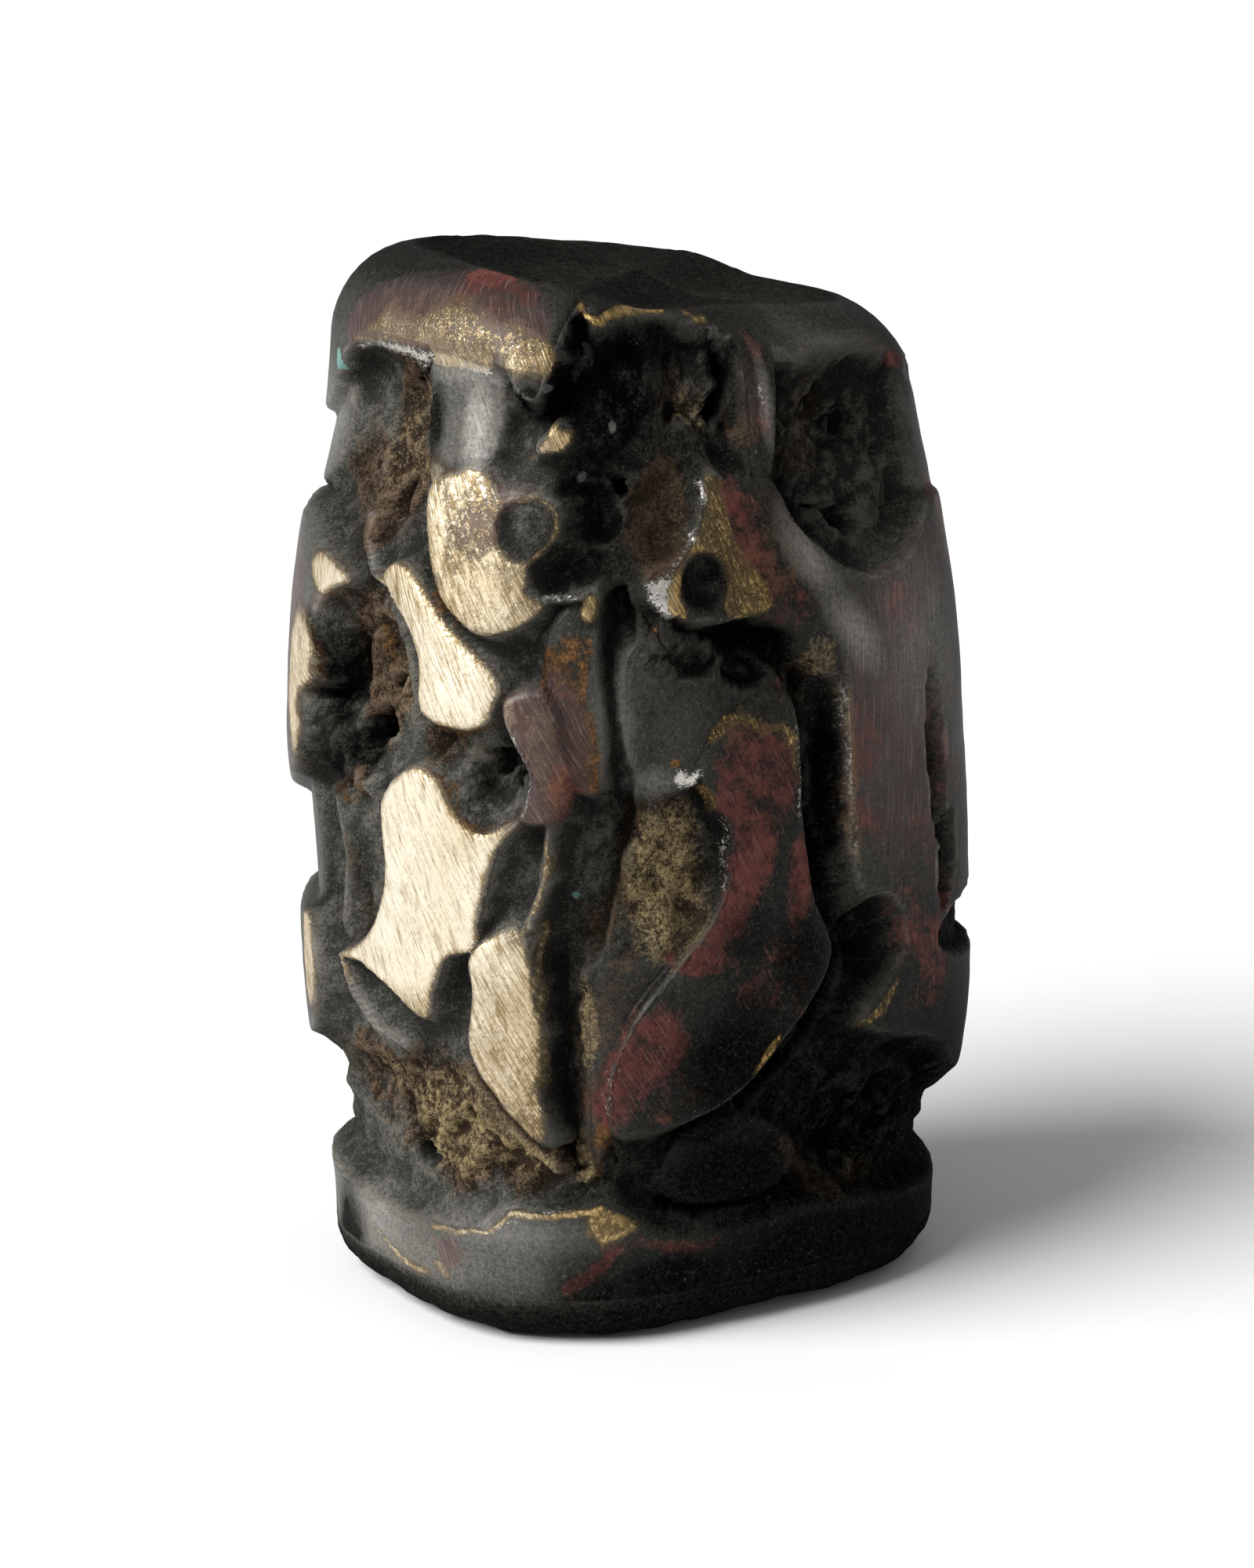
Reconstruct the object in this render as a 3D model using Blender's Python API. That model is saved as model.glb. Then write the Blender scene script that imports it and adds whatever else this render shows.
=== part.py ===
"""Small bronze seal: a stubby rounded casting with deeply cut sides, standing on its flat foot.

Blender 4.5, metres, +Z up. The corner that is seen in the photograph faces -Y.

The sides are drawn on a sheet wrapped once round the body. Sheet units are millimetres at the sizes
below: u runs round the body from the front corner, v runs up from the foot. The drawing is a share of
the girth and of the height, so it follows them.
"""

import math

import bpy
import numpy as np

MM = 0.001

# Driving sizes
HEIGHT = 0.0291
SECTION_LONG = 0.00835
SECTION_SHORT = 0.00695
SECTION_TURN = math.radians(-57)
SECTION_POWER = 2.8
FOOT_EDGE = 0.00135
TOP_EDGE = 0.0023
CUT_DEPTH = 0.0009
GRAIN_DEPTH = 0.00006

# Mesh: steps round the body and up it, and the share of the faces that is kept
STEPS_ROUND = 340
STEPS_FOOT = 7
STEPS_EDGE = 9
STEPS_SIDE = 150
STEPS_TOP = 12
KEPT_SHARE = 0.079

# The sheet that the carving is drawn on
SHEET_GIRTH = 58.4
SHEET_HEIGHT = 29.1
CURVE_STEPS = 6

# Shares of a hollow's or a mark's half width over which its side falls, and widths of walls in mm
HOLLOW_SIDE = 0.55
MARK_SIDE = 0.35
GROOVE_WALL = 0.35
FOOT_BAND_WALL = 0.9
TOP_BAND_WALL = 0.8
LOBE_WALL = 0.8
CREASE = 0.12

# How far the sides swell out past the section, up the left side and up the right side: (v, mm)
SWELL_LEFT = (
    (0, 0), (2.5, 0.0), (4.5, 0.3), (8, 0.75), (12, 0.9), (16, 1.1), (19, 0.95), (22, 0.5),
    (24.5, -0.1), (27, -0.35), (29.1, -0.5),
)
SWELL_RIGHT = (
    (0, 0), (2.5, 0.1), (4.5, 0.55), (8, 1.0), (12, 0.88), (16, 0.63), (19, 0.38), (22, -0.13),
    (24.5, -0.65), (27, -1.05), (29.1, -1.3),
)

# How far the worn top lies below its highest point, from left to right: (mm, mm). Its step runs askew
TOP_DROP = (
    (-9, 0.1), (-5.5, 0), (-2.5, 0.2), (0, 0.6), (1.6, 0.9), (3, 1.35), (4.6, 1.42), (6.2, 1.5),
    (9, 2.0),
)

TOP_SKEW = 0.3
TOP_SKEW_FROM = 0.004

# Shallow dents in the top: centre x, y, half length along x and y, turn in degrees, depth, all in mm
TOP_DENTS = (
    (-3.2, -1.5, 3.0, 2.2, 20, 0.16), (2.6, 1.4, 2.2, 1.7, -30, 0.14), (4.6, -3.0, 1.5, 1.1, 40, 0.12),
    (-1.5, 3.4, 1.9, 1.2, 10, 0.1),
)

# The uncut band along the foot and the one below the top: (u, v of its edge)
FOOT_BAND = (
    (-29.2, 3.3), (-20, 3.1), (-14, 3.3), (-10, 2.8), (-7.5, 2.9), (-6.4, 3.2), (-4.7, 3.3), (-4, 3.9),
    (-2, 3.85), (-0.7, 4.1), (0.3, 3.3), (3, 2.9), (7, 3.0), (14, 2.4), (20, 3.0), (29.2, 3.3),
)
TOP_BAND = (
    (-29.2, 26.2), (-20, 26.0), (-15.5, 25.1), (-13.4, 25.2), (-11.5, 26.9), (-9, 27.1), (-4.2, 27.1),
    (-2.7, 26.6), (-2.1, 27.7), (0, 27.9), (2, 27.8), (3.8, 27.5), (5, 26.6), (6.5, 26.3), (12, 26.2),
    (15, 25.6), (20, 26.0), (29.2, 26.2),
)

# Islands of uncut or little cut surface: their corners, how far they lie below the skin, width of wall
ISLANDS = {
    "upper_patch": (
        (
            (-6.3, 23.2), (-5.4, 23.7), (-4.6, 24.0), (-3.9, 23.4), (-2.4, 23.2), (-2.2, 22.3),
            (-2.9, 21.6), (-2.9, 21.0), (-2.5, 20.5), (-3.2, 19.9), (-4.3, 19.7), (-5.3, 20.4),
            (-5.9, 21.5),
        ),
        0, 0.7,
    ),
    "club": (
        (
            (-7.7, 20.8), (-7.2, 21.3), (-6.5, 21.1), (-5.2, 19.9), (-3.7, 18.6), (-3.8, 17.8),
            (-4.1, 17.3), (-5.0, 17.2), (-5.9, 17.6), (-6.0, 18.8), (-6.6, 19.8),
        ),
        0, 0.7,
    ),
    "left_flank": (
        (
            (-16.5, 21.6), (-14.2, 21.8), (-12.6, 21.8), (-11.2, 21.1), (-9.5, 20.5), (-10.6, 20.0),
            (-11.3, 19.2), (-11.4, 17.6), (-12.2, 16.9), (-12.1, 15.9), (-13.0, 14.6), (-15.2, 13.9),
            (-17, 16.5),
        ),
        0, 0.8,
    ),
    "left_dip": (((-15.6, 14.4), (-13.2, 14.5), (-12.3, 12.8), (-13.0, 10.8), (-15.6, 10.6)), 0.55, 0.7),
    "left_neck": (
        (
            (-16.5, 26.0), (-13.0, 26.2), (-11.9, 24.8), (-12.1, 23.4), (-14.0, 22.6), (-16.5, 22.9),
        ),
        0.38, 0.6,
    ),
    "left_lobe": (
        (
            (-16.2, 10.8), (-13.8, 10.5), (-12.1, 10.5), (-11.9, 9.0), (-12.7, 7.3), (-15, 6.6),
            (-16.8, 8.6),
        ),
        0, 0.9,
    ),
    "great_patch": (
        (
            (-6.3, 15.9), (-5.4, 15.8), (-4.8, 14.9), (-4.0, 14.5), (-3.0, 14.9), (-3.7, 13.9),
            (-4.2, 12.2), (-4.3, 11.3), (-5.2, 10.9), (-5.7, 9.9), (-6.0, 9.1), (-7.5, 9.7),
            (-9.0, 10.0), (-10.2, 9.95), (-9.0, 10.5), (-8.1, 11.3), (-7.4, 12.8), (-7.4, 14.8),
        ),
        0, 0.7,
    ),
    "lower_club": (
        (
            (-4.4, 11.1), (-3.6, 11.8), (-3.0, 11.8), (-2.7, 10.3), (-2.5, 8.8), (-2.6, 7.5),
            (-2.2, 6.1), (-2.8, 6.1), (-3.8, 7.2), (-4.5, 8.5), (-4.4, 10.0),
        ),
        0, 0.7,
    ),
    "scratched_skin": (
        (
            (-3.4, 18.0), (-2.5, 18.2), (-2.0, 17.2), (-1.7, 15.9), (-2.1, 14.9), (-3.0, 14.9),
            (-2.7, 15.9), (-3.3, 17.1),
        ),
        0, 0.6,
    ),
    "rust_slope": (
        (
            (-2.3, 19.9), (-1.3, 20.4), (-1.0, 18.6), (-0.9, 15.9), (-1.8, 15.7), (-2.3, 17.8),
        ),
        0.3, 0.6,
    ),
    "small_triangle": (((-3.0, 24.4), (-2.4, 25.2), (-1.9, 24.9), (-2.2, 24.4)), 0.2, 0.6),
    "under_band": (((-6.9, 26.8), (-4.6, 26.8), (-4.2, 25.4), (-4.6, 24.0), (-6.6, 23.3)), 0.35, 0.5),
    "right_patch": (
        (
            (2.1, 22.3), (2.6, 23.7), (3.6, 23.3), (5.1, 23.4), (6.2, 22.2), (7.6, 21.1), (9.4, 20.5),
            (11.4, 20.9), (13.0, 22.2), (15.3, 21.9), (17.0, 19.4), (16.2, 16.5), (16.9, 13.6),
            (15.6, 11.6), (16.0, 9.4), (15.5, 6.6), (13.8, 5.65), (11.8, 7.1), (8.5, 8.1), (8.2, 8.7),
            (9.4, 9.6), (10.0, 10.6), (9.4, 11.7), (8.1, 12.1), (7.7, 14.5), (7.6, 17.4), (6.3, 18.7),
            (4.8, 19.8), (2.2, 19.8), (0.5, 20.4), (0.5, 21.2), (1.6, 21.6),
        ),
        0, 0.7,
    ),
    "right_neck": (
        (
            (16.5, 26.2), (13.2, 26.2), (12.9, 24.2), (12.8, 22.4), (14.5, 21.6), (17.0, 23.0),
        ),
        0.18, 0.6,
    ),
    "saddle": (((4.6, 26.9), (6.2, 26.7), (6.0, 25.0), (5.3, 23.3), (4.5, 23.4), (4.6, 25.0)), 0.1, 0.6),
    "middle_column": (
        (
            (-0.1, 19.3), (1.5, 19.0), (4.9, 18.3), (5.0, 17.4), (2.4, 16.9), (2.0, 15.7), (0.3, 15.8),
            (-0.3, 17.3),
        ),
        0.22, 0.6,
    ),
    "long_skin": (
        (
            (2.0, 16.0), (2.9, 17.2), (4.9, 17.9), (5.7, 17.1), (5.8, 14.5), (6.2, 12.3), (6.9, 10.6),
            (6.3, 9.5), (5.0, 8.3), (3.6, 7.1), (1.5, 6.3), (-0.5, 6.1), (-0.6, 8.0), (0.2, 9.6),
            (1.4, 10.8), (2.9, 12.6), (3.1, 14.3),
        ),
        0, 0.6,
    ),
    "lower_slope": (
        (
            (-1.4, 11.9), (0.2, 11.3), (1.3, 10.9), (0.2, 9.6), (-0.7, 8.0), (-0.8, 6.2), (-1.4, 5.2),
            (-1.6, 8.0),
        ),
        0.5, 0.5,
    ),
    "low_leaf": (
        (
            (0.9, 4.3), (1.6, 5.6), (3.4, 6.0), (5.2, 5.7), (6.6, 4.6), (5.5, 3.6), (3.0, 3.5),
        ),
        0.45, 0.5,
    ),
}

# Crests left standing in the cut ground: (u, v, half width) along them, depth below the skin, wall
CRESTS = {
    "recess_edge": (((-2.9, 11.9, 0.1), (-2.5, 13.1, 0.06), (-2.3, 14.8, 0.1)), 0.1, 0.4),
    "scoop_edge": (((-10.2, 9.9, 0.1), (-9.7, 9.1, 0.1), (-8.6, 8.4, 0.1), (-7.0, 8.1, 0.1)), 0.1, 0.6),
    "patch_arm": (((-2.6, 20.6, 0.05), (-2.0, 20.6, 0.05), (-1.2, 20.8, 0.2), (-1.3, 20.2, 0.2)), 0.1, 0.4),
    "groove_edge": (
        (
            (-9.2, 22.3, 0.05), (-9.1, 21.5, 0.08), (-8.5, 20.8, 0.1), (-7.7, 20.6, 0.1),
        ),
        0.15, 0.5,
    ),
    "left_scoop_edge": (((-10.9, 14.2, 0.1), (-10.4, 12.6, 0.12), (-11.0, 10.8, 0.1)), 0.3, 0.7),
    "brown_ridge": (((-4.8, 7.6, 0.1), (-3.6, 6.2, 0.15), (-2.4, 5.0, 0.1)), 0.5, 0.7),
    "low_right_ridge": (((5.7, 5.4, 0.1), (6.3, 4.5, 0.1), (7.6, 3.7, 0.1)), 0.3, 0.5),
}

# Hollows in the cut ground: centre u, v, half length along u and v, turn in degrees, depth in mm
HOLLOWS = {
    "great_pit": (-9.2, 17.3, 3.0, 3.0, 0, 1.45),
    "pit_hole": (-9.3, 16.5, 0.9, 0.7, 0, 2.2),
    "pit_slot": (-10.7, 18.0, 0.6, 1.2, 0, 1.7),
    "drilled_pit": (-3.95, 15.9, 1.2, 1.3, 0, 1.5),
    "pit_channel": (-5.5, 16.6, 1.0, 0.5, 0, 1.0),
    "long_scoop": (-9.1, 12.4, 1.6, 2.5, -12, 1.0),
    "left_scoop": (-12.2, 12.8, 1.7, 1.9, 0, 0.85),
    "brown_groove": (-8.8, 24.2, 1.9, 2.8, 0, 1.25),
    "brown_hole": (-8.8, 22.7, 0.7, 0.7, 0, 1.6),
    "small_left_pit": (-10.4, 21.6, 0.8, 0.6, 0, 1.2),
    "black_recess": (-3.4, 13.1, 0.8, 1.7, -20, 0.85),
    "wedge": (-5.0, 9.3, 0.6, 1.6, 8, 0.95),
    "ground_groove": (-9.5, 6.0, 4.5, 1.6, 0, 1.25),
    "ground_front": (-4.6, 5.4, 2.6, 1.2, 0, 1.05),
    "lobe_pit": (-2.0, 21.3, 0.95, 0.85, 0, 1.0),
    "middle_pit": (-1.3, 22.7, 1.2, 1.1, 0, 1.35),
    "brown_slope": (1.0, 22.6, 1.3, 1.6, 0, 0.75),
    "lumpy_pit": (2.1, 26.0, 1.6, 1.5, 0, 1.25),
    "crescent": (3.35, 26.0, 0.4, 1.0, 0, 1.6),
    "top_cut": (-0.8, 26.2, 1.9, 1.5, 0, 1.1),
    "oval_pit": (1.5, 13.2, 1.7, 2.2, 0, 1.15),
    "right_recess": (8.9, 23.6, 3.5, 2.8, -8, 1.25),
    "right_hole": (9.6, 21.9, 1.2, 0.5, -12, 1.55),
    "right_upper_hole": (9.4, 25.0, 1.3, 0.6, 0, 1.5),
    "right_oval": (9.0, 10.8, 1.2, 1.2, 0, 1.25),
    "right_ground": (9.5, 5.3, 4.0, 1.6, 0, 1.25),
    "leaf_shadow": (2.2, 3.7, 1.6, 0.4, -15, 1.1),
}

# Grooves: (u, v, half width) along them and depth in mm
GROOVES = {
    "central_cut": (
        (
            (-0.5, 20.4, 0.45), (-0.5, 17, 0.55), (-1.0, 14.9, 0.95), (-1.6, 13, 1.0), (-1.9, 11, 0.85),
            (-2.0, 9, 0.6), (-1.9, 7, 0.5), (-1.8, 5.2, 0.4),
        ),
        1.55,
    ),
    "channel": (
        (
            (0.7, 19.5, 0.4), (3.0, 19.4, 0.45), (5.1, 18.9, 0.45), (6.2, 17.8, 0.45), (6.4, 15.8, 0.4),
            (6.6, 14.0, 0.4), (6.9, 12.8, 0.45), (7.6, 11.2, 0.5), (7.7, 10.0, 0.5), (7.0, 8.8, 0.45),
            (5.8, 7.7, 0.4), (4.0, 6.6, 0.4),
        ),
        1.3,
    ),
}

# Shallow marks in the skin itself: centre u, v, half lengths, turn in degrees, depth in mm
MARKS = {
    "left_disc": (-3.1, 22.4, 0.85, 0.85, 0, 0.28),
    "right_disc": (2.3, 20.85, 0.85, 0.8, 0, 0.28),
    "flank_slit": (11.7, 15.3, 0.5, 2.6, 0, 0.5),
    "flank_slit_low": (12.1, 12.2, 0.5, 1.4, -12, 0.6),
    "flank_notch": (14.4, 10.1, 3.0, 0.95, 0, 0.52),
}

# The hidden back repeats some of the front's shapes half way round and the other way up
BACK_SHAPES = (
    "upper_patch", "club", "great_patch", "lower_club", "scratched_skin", "long_skin", "middle_column",
    "drilled_pit", "oval_pit", "black_recess", "central_cut",
)

# Plain lobes fill the strips between the back's shapes and the flanks
LOBE_STRIPS = (-19.2, 19.4)
LOBE_ROWS = (7.6, 14.2, 21.4)
LOBE_HALF_WIDTH = 1.15
LOBE_HALF_HEIGHT = 2.5
LOBE_TURN = 14


def smooth_through(places, knots):
    """A cubic curve that passes through the knots (place, value), with the mean slope at each."""
    x, y = np.array(knots, float).T
    slope = np.gradient(y, x)
    i = np.clip(np.searchsorted(x, places) - 1, 0, len(x) - 2)
    width = x[i + 1] - x[i]
    t = np.clip((places - x[i]) / width, 0, 1)
    start = (1 + 2 * t) * (1 - t) ** 2 * y[i] + t * (1 - t) ** 2 * width * slope[i]
    end = t**2 * (3 - 2 * t) * y[i + 1] + t**2 * (t - 1) * width * slope[i + 1]
    return start + end


def section_radius(angle):
    """Rounded rectangle by the superellipse formula; the angle is measured from -Y towards +X."""
    long_side = np.abs(np.cos(angle - SECTION_TURN) / SECTION_LONG) ** SECTION_POWER
    short_side = np.abs(np.sin(angle - SECTION_TURN) / SECTION_SHORT) ** SECTION_POWER
    return (long_side + short_side) ** (-1 / SECTION_POWER)


def swell(angle, z):
    """The sides' swelling at a height, blended round the body between its left and right sides."""
    v = z * SHEET_HEIGHT / HEIGHT
    left_share = (1 - np.sin(angle)) / 2
    left, right = smooth_through(v, SWELL_LEFT), smooth_through(v, SWELL_RIGHT)
    return MM * (left_share * left + (1 - left_share) * right)


def top_height(x, y):
    """Height of the worn top: a slope with a step in it, and a few dents."""
    place = x + TOP_SKEW * (TOP_SKEW_FROM - y)
    drop = smooth_through(place / MM, TOP_DROP)
    for dent in TOP_DENTS:
        drop = drop + dent[5] * bowl(oval_share(x / MM, y / MM, dent), 1)
    return HEIGHT - MM * drop


def near(u, centre):
    """The sheet's u, moved by whole turns to lie nearest to the centre."""
    return (u - centre + SHEET_GIRTH / 2) % SHEET_GIRTH - SHEET_GIRTH / 2 + centre


def closed_curve(corners):
    """Points of a smooth closed curve through the corners, by the Catmull-Rom formula."""
    p = np.array(corners, float)
    before, after, beyond = np.roll(p, 1, 0), np.roll(p, -1, 0), np.roll(p, -2, 0)
    t = np.arange(CURVE_STEPS)[:, None, None] / CURVE_STEPS
    linear = after - before
    square = 2 * before - 5 * p + 4 * after - beyond
    cube = 3 * p - before - 3 * after + beyond
    points = p + 0.5 * (linear * t + square * t**2 + cube * t**3)
    return points.transpose(1, 0, 2).reshape(-1, 2)


def segment_distance(u, v, start, end):
    """Distance to a segment whose ends are (u, v, half width), less the half width there."""
    along = np.array(end[:2]) - start[:2]
    share = np.clip(((u - start[0]) * along[0] + (v - start[1]) * along[1]) / (along @ along), 0, 1)
    gap = np.hypot(u - start[0] - share * along[0], v - start[1] - share * along[1])
    return gap - (start[2] + share * (end[2] - start[2]))


def stroke_distance(u, v, joints):
    u = near(u, joints[0][0])
    return np.min([segment_distance(u, v, a, b) for a, b in zip(joints, joints[1:])], axis=0)


def island_distance(u, v, corners):
    """Distance to a smooth closed outline, negative inside it."""
    curve = closed_curve(corners)
    u = near(u, curve[:, 0].mean())
    gap = np.full(u.shape, np.inf)
    inside = np.zeros(u.shape, bool)
    for (u0, v0), (u1, v1) in zip(curve, np.roll(curve, -1, 0)):
        gap = np.minimum(gap, segment_distance(u, v, (u0, v0, 0), (u1, v1, 0)))
        crosses = (v0 > v) != (v1 > v)
        if v0 != v1:
            inside ^= crosses & (u < u0 + (v - v0) * (u1 - u0) / (v1 - v0))
    return np.where(inside, -gap, gap)


def oval_share(u, v, oval):
    """0 at the middle of a turned oval and 1 on its edge."""
    turn = math.radians(oval[4])
    du, dv = near(u, oval[0]) - oval[0], v - oval[1]
    along, across = du * math.cos(turn) + dv * math.sin(turn), dv * math.cos(turn) - du * math.sin(turn)
    return np.hypot(along / oval[2], across / oval[3])


def wall(distance, width):
    """0 at an edge and 1 from its wall's foot on, steep at the edge and rounded at the foot."""
    return 1 - (1 - np.clip(distance / width, 0, 1)) ** 2


def bowl(share, side=HOLLOW_SIDE):
    """1 over the floor of a hollow and 0 outside it."""
    return wall(1 - share, side)


def deeper(depth, other):
    """The deeper of the two, with the crease between them rounded."""
    blend = np.clip(0.5 + (depth - other) / (2 * CREASE), 0, 1)
    return blend * depth + (1 - blend) * other + CREASE * blend * (1 - blend)


def grain(u, v):
    """Corroded ground: a few crossing waves, from -1 to 1."""
    waves = ((2.1, 0.7, 0.3), (-0.9, 2.4, 1.9), (3.7, -2.9, 0.8), (1.3, 4.6, 2.6), (-5.2, 1.8, 4.0))
    turns = round(SHEET_GIRTH / 2) * 2 * math.pi / SHEET_GIRTH / 5
    return sum(np.sin(turns * round(a * 5) / 5 * u + b * v + c) for a, b, c in waves) / len(waves)


def back_lobes():
    """The plain lobes, leaning left and right by turns."""
    lobes = []
    for u in LOBE_STRIPS:
        for row, v in enumerate(LOBE_ROWS):
            turn = math.copysign(LOBE_TURN, u) * (-1) ** row
            lobes.append((u, v, LOBE_HALF_WIDTH, LOBE_HALF_HEIGHT, turn))
    return lobes


def on_back(table):
    return {name: table[name] for name in BACK_SHAPES if name in table}


def ground_depth(u, v, hollows, grooves):
    """Depth of the cut ground below the skin, before the islands are left standing in it."""
    depth = np.full(u.shape, CUT_DEPTH / MM)
    for oval in hollows.values():
        depth = deeper(depth, oval[5] * bowl(oval_share(u, v, oval)))
    for joints, floor in grooves.values():
        distance = np.maximum(stroke_distance(u, v, joints), 0)
        depth = deeper(depth, floor * (1 - wall(distance, GROOVE_WALL)))
    return depth


def standing_shapes(u, v, islands, crests):
    """Distance to each island and crest, its depth below the skin and the width of its wall."""
    shapes = []
    for corners, level, width in islands.values():
        shapes.append((island_distance(u, v, corners), level, width))
    for joints, level, width in crests.values():
        shapes.append((stroke_distance(u, v, joints), level, width))
    return shapes


def cut_depth(u, v):
    """Depth of the carving below the skin in mm: the ground, less the islands, crests and bands."""
    back_u, back_v = near(SHEET_GIRTH / 2 - u, 0), SHEET_HEIGHT - v
    front = ground_depth(u, v, HOLLOWS, GROOVES)
    back = ground_depth(back_u, back_v, on_back(HOLLOWS), on_back(GROOVES))
    ground = deeper(front, back) + GRAIN_DEPTH / MM * grain(u, v)
    standing = standing_shapes(u, v, ISLANDS, CRESTS)
    standing += standing_shapes(back_u, back_v, on_back(ISLANDS), {})
    standing.append((v - smooth_through(u, FOOT_BAND), 0, FOOT_BAND_WALL))
    standing.append((smooth_through(u, TOP_BAND) - v, 0, TOP_BAND_WALL))
    standing += [((oval_share(u, v, oval) - 1) * oval[2], 0, LOBE_WALL) for oval in back_lobes()]
    depth = ground
    for distance, level, width in standing:
        depth = np.minimum(depth, level + (ground - level) * wall(distance, width))
    for oval in MARKS.values():
        depth = np.maximum(depth, oval[5] * bowl(oval_share(u, v, oval), MARK_SIDE))
    return depth


def top_at(angle, radius):
    return top_height(radius * np.sin(angle), -radius * np.cos(angle))


def rows_up_the_side(angle):
    """Radius and height of every row of points: underside, foot edge, sides, top edge and top."""
    foot = section_radius(angle)
    rows = [(foot * share, 0 * foot) for share in np.linspace(0, 1, STEPS_FOOT, endpoint=False)[1:]]
    inset = FOOT_EDGE * np.linspace(0, 1, len(rows))
    rows = [(radius - less, z) for (radius, z), less in zip(rows, inset)]
    for turn in np.linspace(0, math.pi / 2, STEPS_EDGE):
        z = FOOT_EDGE * (1 - math.cos(turn)) + 0 * foot
        rows.append((foot + swell(angle, z) - FOOT_EDGE * (1 - math.sin(turn)), z))
    shoulder = foot + swell(angle, HEIGHT - TOP_EDGE + 0 * foot)
    side_top = top_at(angle, shoulder) - TOP_EDGE
    for share in np.linspace(0, 1, STEPS_SIDE)[1:]:
        z = FOOT_EDGE + share * (side_top - FOOT_EDGE)
        rows.append((foot + swell(angle, z), z))
    for turn in np.linspace(0, math.pi / 2, STEPS_EDGE)[1:]:
        z = side_top + TOP_EDGE * math.sin(turn)
        radius = foot + swell(angle, z) - TOP_EDGE * (1 - math.cos(turn))
        rows.append((radius, top_at(angle, radius) - TOP_EDGE * (1 - math.sin(turn))))
    for share in np.linspace(1, 0, STEPS_TOP + 1)[1:-1]:
        rows.append((radius * share, top_at(angle, radius * share)))
    return np.array(rows)


def seal_points():
    """Points of the carved body in rows up the side, with the two poles last."""
    angle = np.linspace(0, 2 * math.pi, STEPS_ROUND, endpoint=False)
    radius, z = rows_up_the_side(angle).transpose(1, 0, 2)
    u = near(np.broadcast_to(angle, radius.shape) / (2 * math.pi) * SHEET_GIRTH, 0)
    v = z * SHEET_HEIGHT / HEIGHT
    carved = slice(STEPS_FOOT + STEPS_EDGE - 2, -STEPS_TOP)
    radius[carved] -= MM * cut_depth(u[carved], v[carved])
    points = np.stack([radius * np.sin(angle), -radius * np.cos(angle), z], axis=-1).reshape(-1, 3)
    return np.vstack([points, (0, 0, 0), (0, 0, top_height(np.zeros(1), np.zeros(1))[0])]), len(radius)


def seal_faces(rows):
    """Quads between the rows and a fan of triangles at each pole, all facing out."""
    index = np.arange(rows * STEPS_ROUND).reshape(rows, STEPS_ROUND)
    after = np.roll(index, -1, axis=1)
    quads = np.stack([index[:-1], after[:-1], after[1:], index[1:]], axis=-1).reshape(-1, 4)
    foot_pole, top_pole = rows * STEPS_ROUND, rows * STEPS_ROUND + 1
    foot_fan = [(foot_pole, b, a) for a, b in zip(index[0], after[0])]
    top_fan = [(top_pole, a, b) for a, b in zip(index[-1], after[-1])]
    return quads.tolist() + foot_fan + top_fan


def bronze():
    """Black-brown patina over bronze."""
    material = bpy.data.materials.new("seal_bronze")
    material.use_nodes = True
    shader = material.node_tree.nodes["Principled BSDF"]
    shader.inputs["Base Color"].default_value = (0.055, 0.045, 0.036, 1)
    shader.inputs["Metallic"].default_value = 0.6
    shader.inputs["Roughness"].default_value = 0.45
    return material


def place_on_ground(seal):
    """Moves the seal so that its box is centred over the origin and stands on the ground."""
    graph = bpy.context.evaluated_depsgraph_get()
    corners = np.array(seal.evaluated_get(graph).bound_box)
    low, high = corners.min(axis=0), corners.max(axis=0)
    seal.location = (-(low[0] + high[0]) / 2, -(low[1] + high[1]) / 2, -low[2])


def add_seal():
    points, rows = seal_points()
    mesh = bpy.data.meshes.new("bronze_seal")
    mesh.from_pydata(points.tolist(), [], [tuple(map(int, face)) for face in seal_faces(rows)])
    mesh.materials.append(bronze())
    seal = bpy.data.objects.new("bronze_seal", mesh)
    bpy.context.scene.collection.objects.link(seal)
    thinner = seal.modifiers.new("fewer_faces", "DECIMATE")
    thinner.ratio = KEPT_SHARE
    place_on_ground(seal)
    return seal


for old in list(bpy.data.objects):
    bpy.data.objects.remove(old, do_unlink=True)
bpy.context.scene.unit_settings.system = "METRIC"
add_seal()
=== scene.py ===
"""Dresses the bronze seal: one dense carved mesh with its patina, a pale floor, soft light and the camera.

The carving repeats the sizes and the sheet of shapes of the part's source, which this script can't read.
A few edges are softer, and the finer relief is added.
Sheet units are millimetres: u runs round the body from the front corner, v runs up from the foot.
"""

import itertools
import math

import bpy
import numpy as np
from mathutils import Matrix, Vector


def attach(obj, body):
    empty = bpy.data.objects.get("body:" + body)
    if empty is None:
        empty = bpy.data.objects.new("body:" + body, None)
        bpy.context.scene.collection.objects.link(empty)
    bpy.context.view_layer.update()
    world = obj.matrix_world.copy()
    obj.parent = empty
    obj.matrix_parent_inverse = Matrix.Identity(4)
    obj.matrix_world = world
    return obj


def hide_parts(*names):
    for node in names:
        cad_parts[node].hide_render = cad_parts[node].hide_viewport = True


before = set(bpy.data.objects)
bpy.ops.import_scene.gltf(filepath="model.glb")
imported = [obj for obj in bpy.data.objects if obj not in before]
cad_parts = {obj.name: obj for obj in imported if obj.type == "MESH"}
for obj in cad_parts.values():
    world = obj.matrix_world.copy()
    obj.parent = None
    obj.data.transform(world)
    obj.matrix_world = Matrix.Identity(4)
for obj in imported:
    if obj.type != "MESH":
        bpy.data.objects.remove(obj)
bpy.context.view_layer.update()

MM = 0.001

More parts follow.
